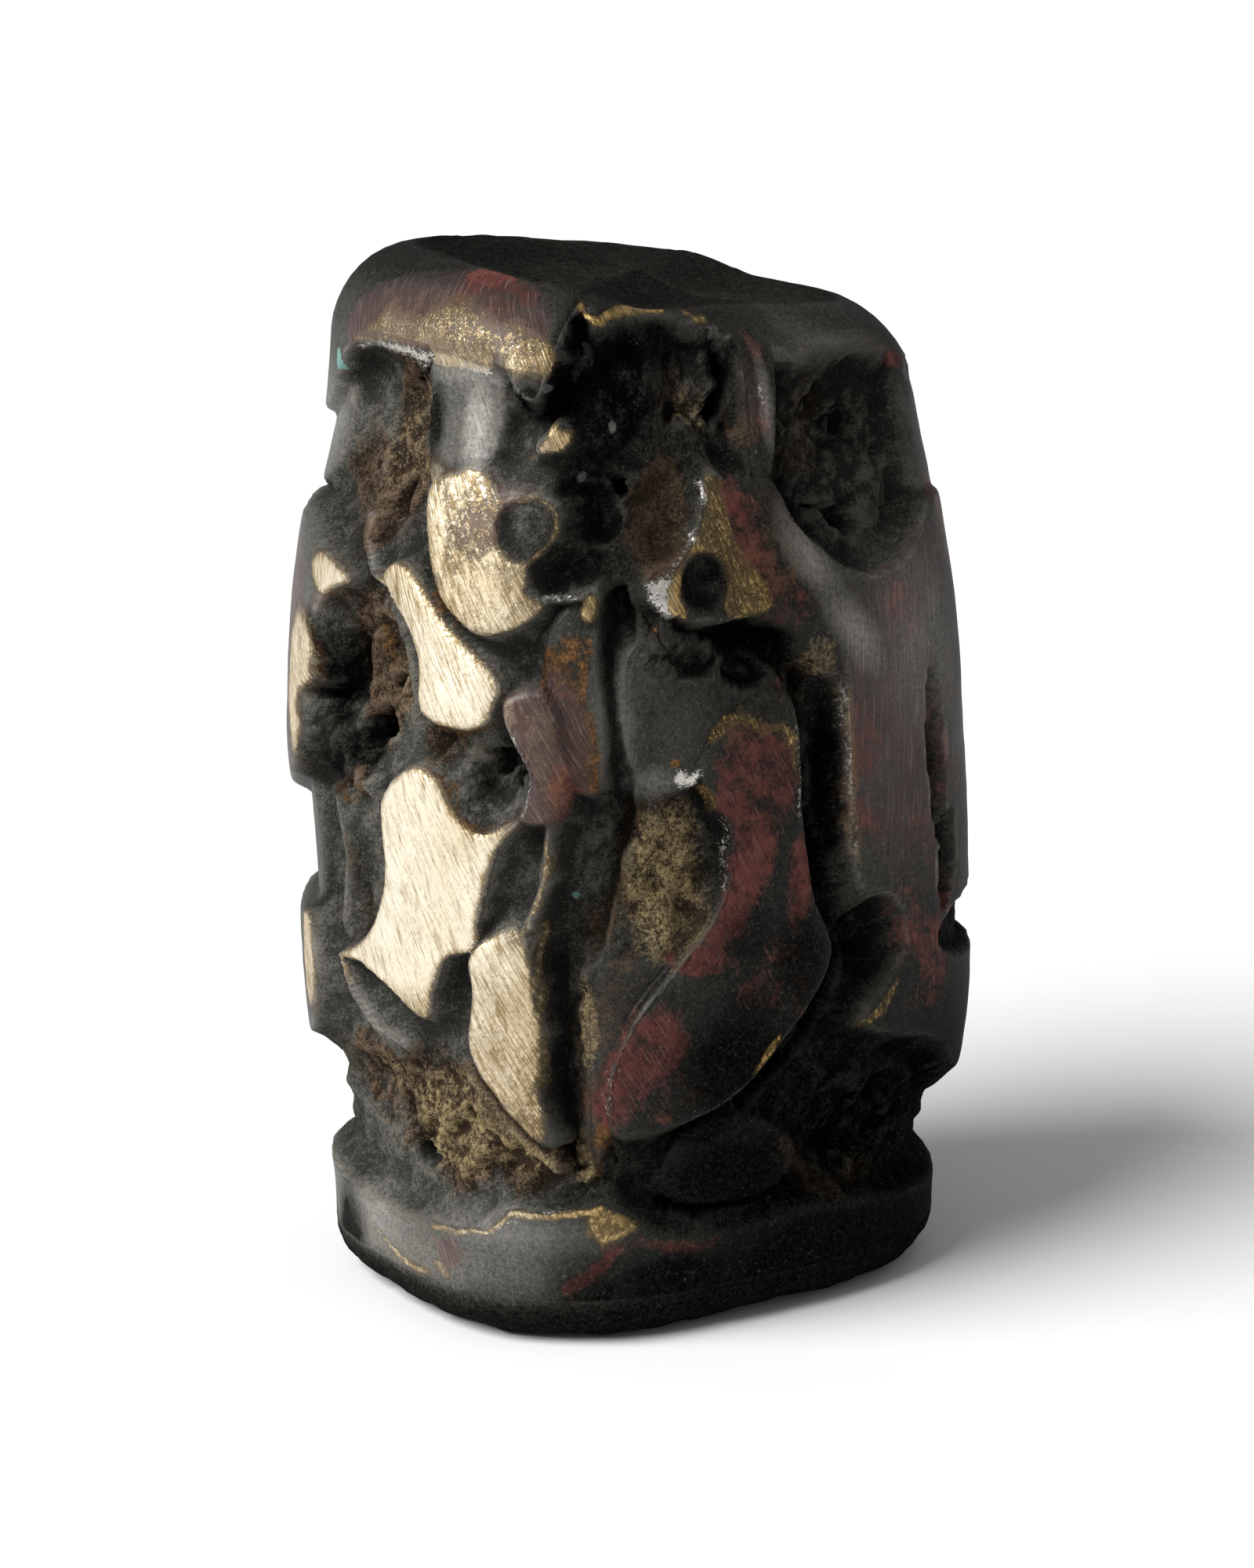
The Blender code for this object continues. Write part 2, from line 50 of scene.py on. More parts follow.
# Sizes of the body, as in the part's source
HEIGHT = 0.0291
SECTION_LONG = 0.00835
SECTION_SHORT = 0.00695
SECTION_TURN = math.radians(-57)
SECTION_POWER = 2.8
FOOT_EDGE = 0.00135
TOP_EDGE = 0.0023
CUT_DEPTH = 0.9

# Mesh: steps round the body and up it, and how closely they crowd at the front corner
STEPS_ROUND = 376
FRONT_CROWD = 0.38
STEPS_FOOT = 7
STEPS_EDGE = 11
STEPS_SIDE = 207
STEPS_TOP = 26

# The sheet that the carving is drawn on
SHEET_GIRTH = 58.4
SHEET_HEIGHT = 29.1
CURVE_STEPS = 6

# Shares of a hollow's or a mark's half width over which its side falls, and widths of walls in mm
HOLLOW_SIDE = 0.55
MARK_SIDE = 0.35
GROOVE_WALL = 0.35
FOOT_BAND_WALL = 0.9
TOP_BAND_WALL = 0.8
LOBE_WALL = 0.8
CREASE = 0.12

# How far the sides swell out past the section, up the left side and up the right side: (v, mm)
SWELL_LEFT = (
    (0, 0), (2.5, 0), (4.5, 0.3), (8, 0.75), (12, 0.9), (16, 1.1), (19, 0.95), (22, 0.5), (24.5, -0.1),
    (27, -0.35), (29.1, -0.5),
)
SWELL_RIGHT = (
    (0, 0), (2.5, 0.1), (4.5, 0.55), (8, 1), (12, 0.88), (16, 0.63), (19, 0.38), (22, -0.13), (24.5, -0.65),
    (27, -1.05), (29.1, -1.3),
)

# How far the worn top lies below its highest point, from left to right: (mm, mm). Its step runs askew
TOP_DROP = (
    (-9, 0.1), (-5.5, 0), (-2.5, 0.2), (0, 0.6), (1.6, 0.9), (3, 1.35), (4.6, 1.42), (6.2, 1.5), (9, 2),
)
TOP_SKEW = 0.3
TOP_SKEW_FROM = 0.004

# Shallow dents in the top: centre x, y, half lengths and depth in mm, then a turn in degrees
TOP_DENTS = (
    (-3.2, -1.5, 3, 2.2, 0.16, 20), (2.6, 1.4, 2.2, 1.7, 0.14, -30), (4.6, -3, 1.5, 1.1, 0.12, 40),
    (-1.5, 3.4, 1.9, 1.2, 0.1, 10),
)

# The uncut band along the foot and the one below the top: (u, v of its edge)
FOOT_BAND = (
    (-29.2, 3.3), (-20, 3.1), (-14, 3.3), (-10, 2.8), (-7.5, 2.9), (-6.4, 3.2), (-4.7, 3.3), (-4, 3.9),
    (-2, 3.85), (-0.7, 4.1), (0.3, 3.3), (3, 2.9), (7, 3), (14, 2.4), (20, 3), (29.2, 3.3),
)
TOP_BAND = (
    (-29.2, 26.2), (-20, 26), (-15.5, 24.8), (-13.4, 24.7), (-12.4, 25.4), (-11.7, 26.35), (-10.5, 26.7),
    (-9, 26.75), (-4.2, 26.6), (-2.7, 26.1), (-2.2, 27.7), (-1.4, 27.4), (0, 27.55), (1.5, 27.5),
    (3.8, 27.05), (5, 26.6), (6.5, 26.3), (12, 26.2), (15, 25.6), (20, 26), (29.2, 26.2),
)

# Islands of uncut or little cut surface: their corners, how far they lie below the skin, width of wall
ISLANDS = {
    "upper_patch": (((-6.3, 23.2), (-5.4, 23.7), (-4.6, 24), (-3.9, 23.4), (-2.4, 23.2), (-2.2, 22.3),
        (-2.9, 21.6), (-2.9, 21), (-2.5, 20.5), (-3.2, 19.9), (-4.3, 19.7), (-5.3, 20.4), (-5.9, 21.5)),
        0, 0.7),
    "club": (((-7.7, 20.8), (-7.2, 21.3), (-6.5, 21.1), (-5.2, 19.9), (-3.7, 18.6), (-3.8, 17.8),
        (-4.1, 17.3), (-5, 17.2), (-5.9, 17.6), (-6, 18.8), (-6.6, 19.8)), 0, 0.7),
    "left_flank": (((-16.5, 21.6), (-14.2, 21.8), (-12.6, 21.8), (-11.2, 21.1), (-9.5, 20.5), (-10.6, 20),
        (-11.3, 19.2), (-11.4, 17.6), (-12.2, 16.9), (-12.1, 15.9), (-13, 14.6), (-15.2, 13.9),
        (-17, 16.5)), 0, 0.8),
    "left_dip": (((-15.6, 14.4), (-13.2, 14.5), (-12.3, 12.8), (-13, 10.8), (-15.6, 10.6)), 0.55, 0.7),
    "left_neck": (((-16.5, 26), (-13, 26.2), (-11.9, 24.8), (-12.1, 23.4), (-14, 22.6), (-16.5, 22.9)),
        0.38, 0.9),
    "left_lobe": (((-16.2, 10.8), (-13.8, 10.5), (-12.1, 10.5), (-11.9, 9), (-12.7, 7.3), (-15, 6.6),
        (-16.8, 8.6)), 0, 0.9),
    "great_patch": (((-6.3, 15.9), (-5.4, 15.8), (-4.8, 14.9), (-4, 14.5), (-3, 14.9), (-3.7, 13.9),
        (-4.2, 12.2), (-4.3, 11.3), (-5.2, 10.9), (-5.7, 9.9), (-6, 9.1), (-7.5, 9.7), (-9, 10),
        (-10.2, 9.95), (-9, 10.5), (-8.1, 11.3), (-7.4, 12.8), (-7.4, 14.8)), 0, 0.7),
    "lower_club": (((-4.4, 11.1), (-3.6, 11.8), (-3, 11.8), (-2.7, 10.3), (-2.5, 8.8), (-2.6, 7.5),
        (-2.2, 6.1), (-2.8, 6.1), (-3.8, 7.2), (-4.5, 8.5), (-4.4, 10)), 0, 0.7),
    "scratched_skin": (((-3.4, 18), (-2.5, 18.2), (-2, 17.2), (-1.7, 15.9), (-2.1, 14.9), (-3, 14.9),
        (-2.7, 15.9), (-3.3, 17.1)), 0, 0.6),
    "rust_slope": (((-2.3, 19.9), (-1.3, 20.4), (-1, 18.6), (-0.9, 15.9), (-1.8, 15.7), (-2.3, 17.8)),
        0.3, 0.6),
    "small_triangle": (((-3, 24.4), (-2.4, 25.2), (-1.9, 24.9), (-2.2, 24.4)), 0.2, 0.6),
    "under_band": (((-6.9, 26.8), (-4.6, 26.8), (-4.2, 25.4), (-4.6, 24), (-6.6, 23.3)), 0.35, 0.5),
    "right_patch": (((2.1, 22.3), (2.6, 23.7), (3.6, 23.3), (5.1, 23.4), (6.2, 22.2), (7.6, 21.1),
        (9.4, 20.5), (11.4, 20.9), (13, 22.2), (15.3, 21.9), (17, 19.4), (16.2, 16.5), (16.9, 13.6),
        (15.6, 11.6), (16, 9.4), (15.5, 6.6), (13.8, 5.65), (11.8, 7.1), (8.5, 8.1), (8.2, 8.7), (9.4, 9.6),
        (10, 10.6), (9.4, 11.7), (8.1, 12.1), (7.7, 14.5), (7.6, 17.4), (6.3, 18.7), (4.8, 19.8),
        (2.2, 19.8), (0.5, 20.4), (0.5, 21.2), (1.6, 21.6)), 0, 0.7),
    "right_neck": (((16.5, 26.2), (13.2, 26.2), (12.9, 24.2), (12.8, 22.4), (14.5, 21.6), (17, 23)),
        0.18, 0.6),
    "saddle": (((4.6, 26.9), (6.2, 26.7), (6, 25), (5.3, 23.3), (4.5, 23.4), (4.6, 25)), 0.1, 0.6),
    "middle_column": (((-0.1, 19.3), (1.5, 19), (4.9, 18.3), (5, 17.4), (2.4, 16.9), (2, 15.7), (0.3, 15.8),
        (-0.3, 17.3)), 0.15, 1.1),
    "long_skin": (((2, 16), (2.9, 17.2), (4.9, 17.9), (5.7, 17.1), (5.8, 14.5), (6.2, 12.3), (6.9, 10.6),
        (6.3, 9.5), (5, 8.3), (3.6, 7.1), (1.5, 6.3), (-0.5, 6.1), (-0.6, 8), (0.2, 9.6), (1.4, 10.8),
        (2.9, 12.6), (3.1, 14.3)), 0, 0.6),
    "lower_slope": (((-1.1, 10.8), (0.2, 11), (1.3, 10.9), (0.2, 9.6), (-0.7, 8), (-0.8, 6.2), (-1.2, 5.2),
        (-1.4, 8)), 0.5, 1.3),
    "low_leaf": (((0.9, 4.3), (1.6, 5.6), (3.4, 6), (5.2, 5.7), (6.6, 4.6), (5.5, 3.6), (3, 3.5)), 0.7, 0.5),
}

# Crests left standing in the cut ground: (u, v, half width) along them, depth below the skin, wall
CRESTS = {
    "recess_edge": (((-2.9, 11.9, 0.1), (-2.5, 13.1, 0.06), (-2.3, 14.8, 0.1)), 0.1, 0.4),
    "scoop_edge": (((-10.2, 9.9, 0.1), (-9.7, 9.1, 0.1), (-8.6, 8.4, 0.1), (-7, 8.1, 0.1)), 0.1, 0.6),
    "patch_arm": (((-2.6, 20.6, 0.05), (-2, 20.6, 0.05), (-1.2, 20.8, 0.2), (-1.3, 20.2, 0.2)), 0.1, 0.4),
    "groove_edge": (((-9.2, 22.3, 0.05), (-9.1, 21.5, 0.08), (-8.5, 20.8, 0.1), (-7.7, 20.6, 0.1)),
        0.15, 0.5),
    "left_scoop_edge": (((-10.9, 14.2, 0.1), (-10.4, 12.6, 0.12), (-11, 10.8, 0.1)), 0.6, 0.9),
    "brown_ridge": (((-4.8, 7.6, 0.1), (-3.6, 6.2, 0.15), (-2.4, 5, 0.1)), 0.5, 0.7),
    "low_right_ridge": (((5.7, 5.4, 0.1), (6.3, 4.5, 0.1), (7.6, 3.7, 0.1)), 0.75, 0.8),
    "column_neck": (((0.9, 20.3, 0.25), (0.9, 19.6, 0.25), (1.2, 18.9, 0.4)), 0.35, 0.7),
}

# Hollows in the cut ground: centre u, v, half lengths along u and v, depth in mm, then any turn in degrees
HOLLOWS = {
    "great_pit": (-9.2, 17.3, 3, 3, 1.45),
    "pit_hole": (-9.3, 16.5, 0.9, 0.7, 2.2),
    "pit_slot": (-10.7, 18, 0.6, 1.2, 1.7),
    "drilled_pit": (-3.95, 15.9, 1.2, 1.3, 1.5),
    "pit_channel": (-5.5, 16.6, 1, 0.5, 1),
    "long_scoop": (-9.1, 12.4, 1.6, 2.5, 1, -12),
    "left_scoop": (-12.2, 12.8, 1.7, 1.9, 0.85),
    "brown_groove": (-8.8, 24.2, 1.9, 2.8, 1.25),
    "brown_hole": (-8.8, 22.7, 0.7, 0.7, 1.6),
    "small_left_pit": (-10.4, 21.6, 0.8, 0.6, 1.2),
    "black_recess": (-3.4, 13.1, 0.8, 1.7, 0.85, -20),
    "wedge": (-5, 9.3, 0.6, 1.6, 0.95, 8),
    "ground_groove": (-9.5, 6, 4.5, 1.6, 1.25),
    "ground_front": (-4.6, 5.4, 2.6, 1.2, 1.05),
    "lobe_pit": (-2, 21.3, 0.95, 0.85, 1),
    "middle_pit": (-1.3, 22.7, 1.2, 1.1, 1.35),
    "brown_slope": (1, 22.6, 1.3, 1.6, 0.75),
    "lumpy_pit": (2.1, 26, 1.6, 1.5, 1.25),
    "top_cut": (-0.8, 26.2, 1.9, 1.5, 1.1),
    "oval_pit": (1.5, 13.2, 1.7, 2.2, 1.15),
    "right_recess": (8.9, 23.6, 3.5, 2.8, 1.25, -8),
    "right_hole": (9.6, 21.9, 1.2, 0.5, 1.55, -12),
    "right_upper_hole": (9.4, 25, 1.3, 0.6, 1.5),
    "right_oval": (9, 10.8, 1.2, 1.2, 1.25),
    "right_ground": (9.5, 5.3, 4, 1.6, 1.25),
    "leaf_shadow": (2.2, 3.7, 1.6, 0.4, 1.1, -15),
}

# Grooves: (u, v, half width) along them and depth in mm
GROOVES = {
    "central_cut": (((-0.5, 20.4, 0.45), (-0.5, 17, 0.55), (-1, 14.9, 0.95), (-1.6, 13, 1),
        (-1.9, 11, 0.85), (-2, 9, 0.6), (-1.9, 7, 0.5), (-1.8, 5.2, 0.4)), 1.55),
    "channel": (((0.7, 19.5, 0.4), (3, 19.4, 0.45), (5.1, 18.9, 0.45), (6.2, 17.8, 0.45), (6.4, 15.8, 0.4),
        (6.6, 14, 0.4), (6.9, 12.8, 0.45), (7.6, 11.2, 0.5), (7.7, 10, 0.5), (7, 8.8, 0.45),
        (5.8, 7.7, 0.4), (4, 6.6, 0.4)), 1.3),
}

# Shallow marks in the skin itself, given like the hollows
MARKS = {
    "left_disc": (-3.1, 22.4, 0.85, 0.85, 0.28),
    "right_disc": (2.3, 20.85, 0.85, 0.8, 0.28),
    "flank_slit": (11.7, 15.3, 0.5, 2.6, 0.5),
    "flank_slit_low": (12.1, 12.2, 0.5, 1.4, 0.6, -12),
    "flank_notch": (14.4, 10.1, 3, 0.95, 0.52),
}

# The hidden back repeats some of the front's shapes half way round and the other way up
BACK_SHAPES = (
    "upper_patch", "club", "great_patch", "lower_club", "scratched_skin", "long_skin", "middle_column",
    "drilled_pit", "oval_pit", "black_recess", "central_cut",
)

# Plain lobes fill the strips between the back's shapes and the flanks
LOBE_STRIPS = (-19.2, 19.4)
LOBE_ROWS = (7.6, 14.2, 21.4)
LOBE_HALF_WIDTH = 1.15
LOBE_HALF_HEIGHT = 2.5
LOBE_TURN = 14

# Rounding of the standing shapes' edges in mm, and how far into a mark the skin's finish runs
EDGE_ROUND = 0.06
MARK_REACH = 0.97

# Noise over the body: height, size of its lumps in mm, octaves and seed
NOISES = {
    "wander_u": (0.035, 1.1, 3, 3), "wander_v": (0.035, 1.1, 3, 7), "ragged_u": (0.09, 1.2, 4, 71),
    "ragged_v": (0.09, 1.2, 4, 76), "patchy": (1, 3.1, 3, 61), "ground": (0.12, 0.9, 3, 31),
    "skin": (0.025, 2.2, 4, 41), "swells": (0.3, 1.6, 3, 51), "warp_x": (0.25, 0.9, 2, 81),
    "warp_y": (0.25, 0.9, 2, 84), "warp_z": (0.25, 0.9, 2, 87),
}

# Rounded lumps in the rough places: height, size in mm, seed, and the level that counts as flat
LUMPS = ((0.55, 1.2, 11, 0.5), (0.4, 0.55, 23, 0.45))

# Least roughness: of the ground, at the skin's edge, and of foot and top
GROUND_ROUGH = 0.22
ROUGH_SKIN = 0.2
ROUGH_ENDS = 0.16

# Millimetres off the skin's edge over which the ground's grain and the lumps set in and the skin fades
GROUND_FROM = 0.3
ROUGH_FROM = 0.25
SKIN_FADE = 0.2

# Crests and hollows of the finished relief, which set the paler crests and the painted shade with dirt in the
# hollows: the steps of mesh looked at, and the height in mm that is full
CREST_REACH = 2
CREST_SPAN = 0.07
SUNK_REACH = 9
SUNK_SPAN = 0.7

# How far a finish's ovals and patches reach, and how softly they and its strokes fade
OVAL_REACH = 1.25
OVAL_FADE = 0.5
OVAL_FADES = {"sheen": 1.2, "grey": 1.1, "black": 0.8}
PATCH_REACH = 0.7
PATCH_FADE = 0.22
PATCH_FADES = {"maroon": 0.6, "purple": 0.6}
STROKE_FADE = 0.12
STROKE_FADES = {"maroon": 0.22, "rust": 0.15}

# The most that a finish covers, and its share on the back
MOST_COVER = 1.3
BACK_SHARE = 0.85

# The most of each of the skin's finishes at its edge, and how fast that falls per mm beyond
SKIN_LIMITS = {"gold": 0.46, "silver": 0.86, "maroon": 0.66, "purple": 0.66}
LIMIT_FALL = 4

# How pale the patina is painted by where the light falls, pale on the lit left and dark on the shaded right,
# which is painted light: by u on the left and the right, each times a share by v
LIT_LEFT = ((-29.2, 0.3), (-14, 0.6), (-9, 1), (-3.4, 0.9), (-2.1, 0.3), (0.5, 0.15), (4, 0), (29.2, 0))
LIT_LEFT_UP = ((0, 0), (0.9, 0.08), (1.8, 0.9), (24.5, 1), (27.6, 0.5), (28.6, 0.08), (30, 0.02))
LIT_RIGHT = ((-29.2, 0.3), (-14, 0), (0.5, 0), (3, 0.1), (7.2, 0.14), (8.2, 0.35), (16, 0.25), (29.2, 0.3))
LIT_RIGHT_UP = ((0, 0), (6, 0), (11, 0.5), (16, 1), (25, 1), (27, 0.6), (30, 0.15))
LIT_PATCHY = 0.3

# Colours. Patina, earth, purple and gold come as lit and shaded copies, mixed by the lit side's share:
# painted light. The dust colour also paints glints, and the white metal paints sheen
PATINA_BLACK = (0.0010, 0.0011, 0.0009, 1)
PATINA_DIM = (0.020, 0.021, 0.018, 1)
PATINA_DARK = (0.017, 0.0175, 0.0150, 1)
PATINA_GREY = (0.056, 0.055, 0.048, 1)
PATINA_LIT = (0.175, 0.168, 0.145, 1)
EARTH_DARK = (0.030, 0.021, 0.014, 1)
EARTH_DIM = (0.070, 0.046, 0.030, 1)
EARTH = (0.175, 0.122, 0.082, 1)
EARTH_YELLOW = (0.29, 0.215, 0.10, 1)
EARTH_PALE = (0.44, 0.355, 0.19, 1)
DUST_AND_GLINT = (0.40, 0.37, 0.31, 1)
RUST_DARK = (0.055, 0.029, 0.014, 1)
RUST_BRIGHT = (0.30, 0.145, 0.050, 1)
PURPLE_DARK = (0.045, 0.033, 0.031, 1)
PURPLE_DEEP = (0.075, 0.042, 0.043, 1)
PURPLE_SKIN = (0.185, 0.110, 0.104, 1)
OXIDE_DARK = (0.024, 0.011, 0.010, 1)
OXIDE_RED = (0.150, 0.048, 0.038, 1)
SCRATCH_PALE = (0.38, 0.31, 0.27, 1)
GOLD_PALE = (1.0, 0.92, 0.75, 1)
GOLD_TAN = (0.42, 0.31, 0.165, 1)
GOLD_RICH = (0.66, 0.43, 0.12, 1)
GOLD_DEEP = (0.10, 0.065, 0.022, 1)
WHITE_METAL = (0.68, 0.65, 0.60, 1)
GREEN = (0.16, 0.29, 0.26, 1)
FLECK = (0.11, 0.115, 0.105, 1)
PAPER = (0.90, 0.90, 0.90, 1)
PAPER_SHADE = (0.87, 0.87, 0.87, 1)

# Noise in the metal from tiny to broad, the drift of its crumbs, and the paper's: size, detail, roughness
GRAINS = ((0.05, 2, 0.6), (0.13, 4, 0.7), (0.45, 7, 0.65), (1.9, 6, 0.62))
DRIFT = (1 / 1.7, 2, 0.5)
DRIFT_REACH = (0.14, 0.14, 0.14)
FIBRES = (0.004, 4, 0.6)

# Sizes of the crumbs and grains in mm
CRUMBS = (0.3, 0.08)

# File marks on the left, low down and on the right, and veins: degrees, length, width and seed
STREAKS = ((-62, 1, 0.06, 0), (61, 1, 0.05, 3.7), (86, 1.6, 0.055, 8.1), (-78, 0.9, 0.16, 5.3))
STREAK_DETAIL = 1.5
STREAK_WAVE = 0.16

# Where the file marks turn: the low ones lie right of this u and below this v, the right ones from this u
LOW_MARKS_FROM = -1.2
LOW_MARKS_BELOW = 11.5
RIGHT_MARKS_FROM = 5.2

# Millimetres up the side that the UV map's whole height stands for
SHEET_ARC = 41

# Where each finish or shade comes in: the middle of its climb from 0 to 1, and the rate
CLIMBS = {
    "maroon": (0.6, 1.4), "purple": (0.4, 1.6), "leaf": (0.38, 9), "dusting": (0.82, 8), "holes": (0.34, 12),
    "silver": (0.5, 2.5), "worn": (0.95, 2.5), "brown": (0.5, 2.4), "tan": (0.45, 1.5), "rust": (0.5, 3),
    "green": (0.5, 6), "fleck": (0.5, 6), "dust_and_glint_speck": (0.67, 12), "black": (0.5, 1.5), "high": (0.04, 2.2),
    "hollow_shade_and_dirt": (1.8, 1.2), "filed": (0.64, 8), "brim": (0.16, 7), "rust_glow": (0.58, 5), "red": (0.5, 5),
    "dull": (0.27, 5), "veins": (0.64, 6), "sandy": (0.52, 5), "violet": (0.5, 4), "dim": (0.16, 2.6),
}

# Gloss of metal and paper
METAL_SPECULAR = 0.01
COAT_ROUGHNESS = 0.3
PAPER_ROUGHNESS = 0.9
PAPER_SPECULAR = 0.1

# Floor, light and camera
FLOOR_HALF = 3.0
KEY_STRENGTH = 4.2
KEY_SPREAD = math.radians(40)
KEY_PLACE = (-0.60, -0.38, 0.66)
ROOM_STRENGTH = 0.3
CAMERA_LENS = 88.29
CAMERA_PLACE = (-0.00014, -0.106, 0.0386)
CAMERA_DIP = math.radians(13.14)

# Finer forms, left to this mesh: more hollows, marks and thin grooves
FINE_HOLLOWS = {
    "pit_shelf": (-8.3, 15.2, 0.9, 0.5, 1.25, 20),
    "pit_column": (-11.5, 17.6, 0.6, 1.5, 2.4),
    "pit_nick": (-8.6, 17.7, 0.4, 0.3, 1.95, 30),
    "pit_deep": (-9.9, 16, 0.65, 0.55, 3),
    "pit_low": (-10.3, 14.9, 0.5, 0.7, 1.7, -20),
    "small_dark_pit": (-5.6, 16.7, 0.45, 0.35, 1.15),
    "drilled_deep": (-4.2, 16.2, 0.5, 0.6, 2.1),
    "drilled_side": (-3.5, 15.6, 0.35, 0.4, 1.8),
    "band_pit": (-3.3, 25.7, 0.5, 0.5, 1.15),
    "ground_nick": (-5, 6.3, 0.28, 0.5, 1.7, 20),
    "ground_low": (-7.6, 4.5, 0.9, 0.5, 1.5, 10),
    "cut_end": (-2.1, 5.4, 0.35, 0.6, 1.8, 15),
    "cut_side": (-0.9, 5.5, 0.3, 0.45, 1.5, -20),
    "edge_crumb": (6.3, 18.1, 0.6, 0.5, 0.75, 30),
    "groove_pit": (-8.4, 25.6, 0.6, 0.7, 1.6),
    "groove_low": (-9.6, 22.2, 0.5, 0.5, 1.7),
    "crater_low": (1.5, 25.1, 0.6, 0.4, 1.4),
    "slope_hole": (-0.4, 23.3, 0.3, 0.25, 1.5, 20),
    "recess_nick": (11, 24.4, 0.6, 0.3, 1.75, 20),
    "recess_pit": (8.2, 24.4, 0.5, 0.4, 1.6),
    "recess_low": (11.8, 23.2, 0.35, 0.4, 1.6),
}
FINE_MARKS = {
    "column_top": (1.6, 18.95, 1.4, 0.55, 0.55, -6),
    "column_nick": (3.7, 18.4, 1, 0.45, 0.8, -12),
}
FINE_GROOVES = {
    "slope_crack": (((-6.8, 24.8, 0.03), (-6.6, 24.2, 0.07), (-6.45, 23.5, 0.04)), 0.95),
    "hole_lip": (((8.1, 22.4, 0.05), (9.2, 22.15, 0.09), (10.2, 21.7, 0.06)), 1.9),
    "low_crack": (((-1, 5.9, 0.03), (-0.8, 5.5, 0.05), (-0.6, 5.2, 0.03)), 1.2),
    "leaf_crack": (((1.3, 5.6, 0.04), (1, 5.2, 0.06), (0.85, 4.7, 0.04)), 1.05),
    "leaf_under": (((0.9, 3.75, 0.05), (2.2, 3.35, 0.12), (3.6, 3.4, 0.06)), 1.35),
    "crescent": (((3.4, 26.95, 0.04), (3.9, 26.5, 0.12), (4.05, 25.9, 0.17), (3.9, 25.3, 0.13),
        (3.4, 24.8, 0.05)), 1.7),
}

